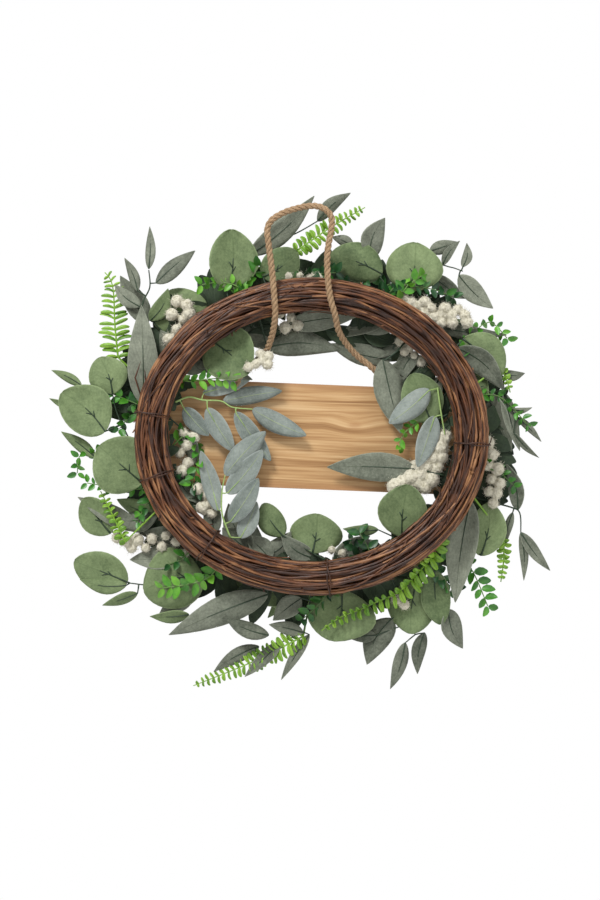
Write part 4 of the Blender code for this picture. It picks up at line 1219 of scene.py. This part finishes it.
def fluff(name, tufts, replaced=()):
    """Tufts of fibre: lumpy balls that run into one another, and fine hairs standing off them."""
    hairs_here = []
    work = bmesh.new()
    for place, size in tufts:
        centre = plan_point(place)
        radius = size * 0.0005
        ball = Matrix.Translation(centre)
        bmesh.ops.create_icosphere(work, subdivisions=2, radius=radius * 0.92, matrix=ball)
        for _ in range(LUMPS_ON_A_TUFT):
            way = Vector((draw.gauss(0, 1), draw.gauss(0, 0.7), draw.gauss(0, 1))).normalized()
            lump = Matrix.Translation(centre + way * radius * draw.uniform(0.55, 0.8))
            lump_radius = radius * draw.uniform(0.28, 0.42)
            bmesh.ops.create_icosphere(work, subdivisions=1, radius=lump_radius, matrix=lump)
        for _ in range(HAIRS_ON_A_TUFT):
            out = Vector((draw.gauss(0, 1), draw.gauss(0, 1), draw.gauss(0, 1))).normalized()
            curl = Vector((draw.gauss(0, 1), draw.gauss(0, 1), draw.gauss(0, 1))) * 0.0009
            hairs_here.append(
                [
                    (centre + out * radius * 0.85, 0.00013),
                    (centre + out * radius * 1.0 + curl * 0.4, 0.00010),
                    (centre + out * radius * draw.uniform(1.02, 1.22) + curl, 0.00007),
                ]
            )
    loose = bpy.data.meshes.new(name)
    work.to_mesh(loose)
    work.free()
    holder = bpy.data.objects.new(name, loose)
    bpy.context.scene.collection.objects.link(holder)
    merge = holder.modifiers.new("merge", "REMESH")
    merge.mode = "VOXEL"
    merge.voxel_size = 0.00075
    soften = holder.modifiers.new("soften", "SMOOTH")
    soften.iterations = 8
    mesh = bpy.data.meshes.new_from_object(holder.evaluated_get(bpy.context.evaluated_depsgraph_get()))
    bpy.data.objects.remove(holder)
    for vert in mesh.vertices:
        vert.co += vert.normal * 0.0005 * noise.fractal(vert.co * 500, 0.7, 2.2, 4)
    made = piece(name, mesh, fluff_finish.material)
    hair_mesh = swept(f"{name}_hairs", hairs_here, 4, [0.5] * len(hairs_here))
    teased = piece(f"{name}_hairs", hair_mesh, fluff_finish.material)
    for one in (made, teased):
        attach(one, "wreath")
    if replaced:
        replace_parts(made, *replaced)


def tufts_at(places, depth, size=10.5):
    """Tufts at these places, x and z in millimetres, each varied a little in depth and size."""
    tufts = []
    for x, z in places:
        place = (x, z, depth + draw.uniform(-1, 1))
        tufts.append((place, 1.15 * size * draw.uniform(0.85, 1.25)))
    return tufts


fluff(
    "fluff_top_left",
    tufts_at(
        ((-133, 134), (-123, 130), (-138, 121), (-127, 116), (-133, 106), (-121, 122), (-141, 96)),
        24,
    ),
    ("fluff_sprig_top_left",),
)
fluff(
    "fluff_top_right",
    tufts_at(
        ((90, 137), (98, 133), (104, 129), (112, 133), (118, 127), (112, 122), (126, 120), (132, 127),
         (131, 121), (138, 120), (145, 126), (152, 120), (154, 113), (139, 113), (128, 113), (120, 118)),
        23,
        10,
    ),
    ("fluff_sprig_top_right",),
)
fluff(
    "fluff_right",
    tufts_at(
        ((174, -6), (178, -18), (174, -28), (184, -32), (178, -42), (186, -46), (183, -56), (176, -54),
         (180, -66)),
        24,
        11.5,
    ),
    ("fluff_sprig_right",),
)
fluff(
    "fluff_left_low",
    tufts_at(
        ((-134, -104), (-144, -98), (-148, -109), (-158, -101), (-164, -110), (-172, -102),
         (-184, -103), (-126, -116), (-178, -110), (-192, -100)),
        24,
        10,
    ),
    ("fluff_sprig_left_low",),
)
fluff(
    "fluff_inner_right",
    tufts_at(
        ((126, -10), (120, -20), (112, -28), (124, -30), (108, -36), (98, -40), (118, -42), (90, -45),
         (130, 0), (102, -30), (83, -49), (92, -53), (104, -46), (112, -50), (128, -20)),
        14.5,
        14,
    ),
    ("cream_sprig_inner_right",),
)
fluff(
    "fluff_inner_left",
    tufts_at(((-126, 4), (-122, -8), (-130, -16), (-122, -26), (-116, 0), (-128, -34)), 20.3, 10),
    ("fluff_sprig_inner_left",),
)
for name, places, depth, size in (
    ("fluff_inner_left_low", ((-112, -52), (-104, -58), (-108, -70), (-98, -76), (-96, -64)), 19, 11),
    ("fluff_by_rope_end", ((-62, 68), (-55, 71), (-48, 75), (-42, 79), (-50, 81), (-43, 71)), 0.5, 9),
    ("fluff_inner_top", ((-31, 122), (-20, 118), (-14, 110), (-26, 108)), 21, 9.5),
    ("fluff_inner_top_right", ((88, 94), (96, 88), (102, 80), (92, 84), (108, 74)), 20, 9),
    ("fluff_top", ((-22, 158), (-12, 159), (-2, 158), (6, 157)), 21, 9),
    ("fluff_bottom", ((20, -112), (30, -115), (84, -160), (92, -166)), 21, 9),
):
    fluff(name, tufts_at(places, depth, size))


# The stems, petioles and ribs of the leaves are moulded plastic, green to pale green, and so are the
# stiff ribs of the ferns. Their feet are pushed into the bundle and glued.
stems = piece("stems", swept("stems", stem_routes, 6, stem_shades), moulded.material)
fern_rib_mesh = swept("fern_ribs", fern_routes, 6, [0.6] * len(fern_routes))
fern_ribs = piece("fern_ribs", fern_rib_mesh, fern_finish.material)
for one, slot_name in ((stems, "grey_leaf"), (fern_ribs, "fern")):
    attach(one, "wreath")
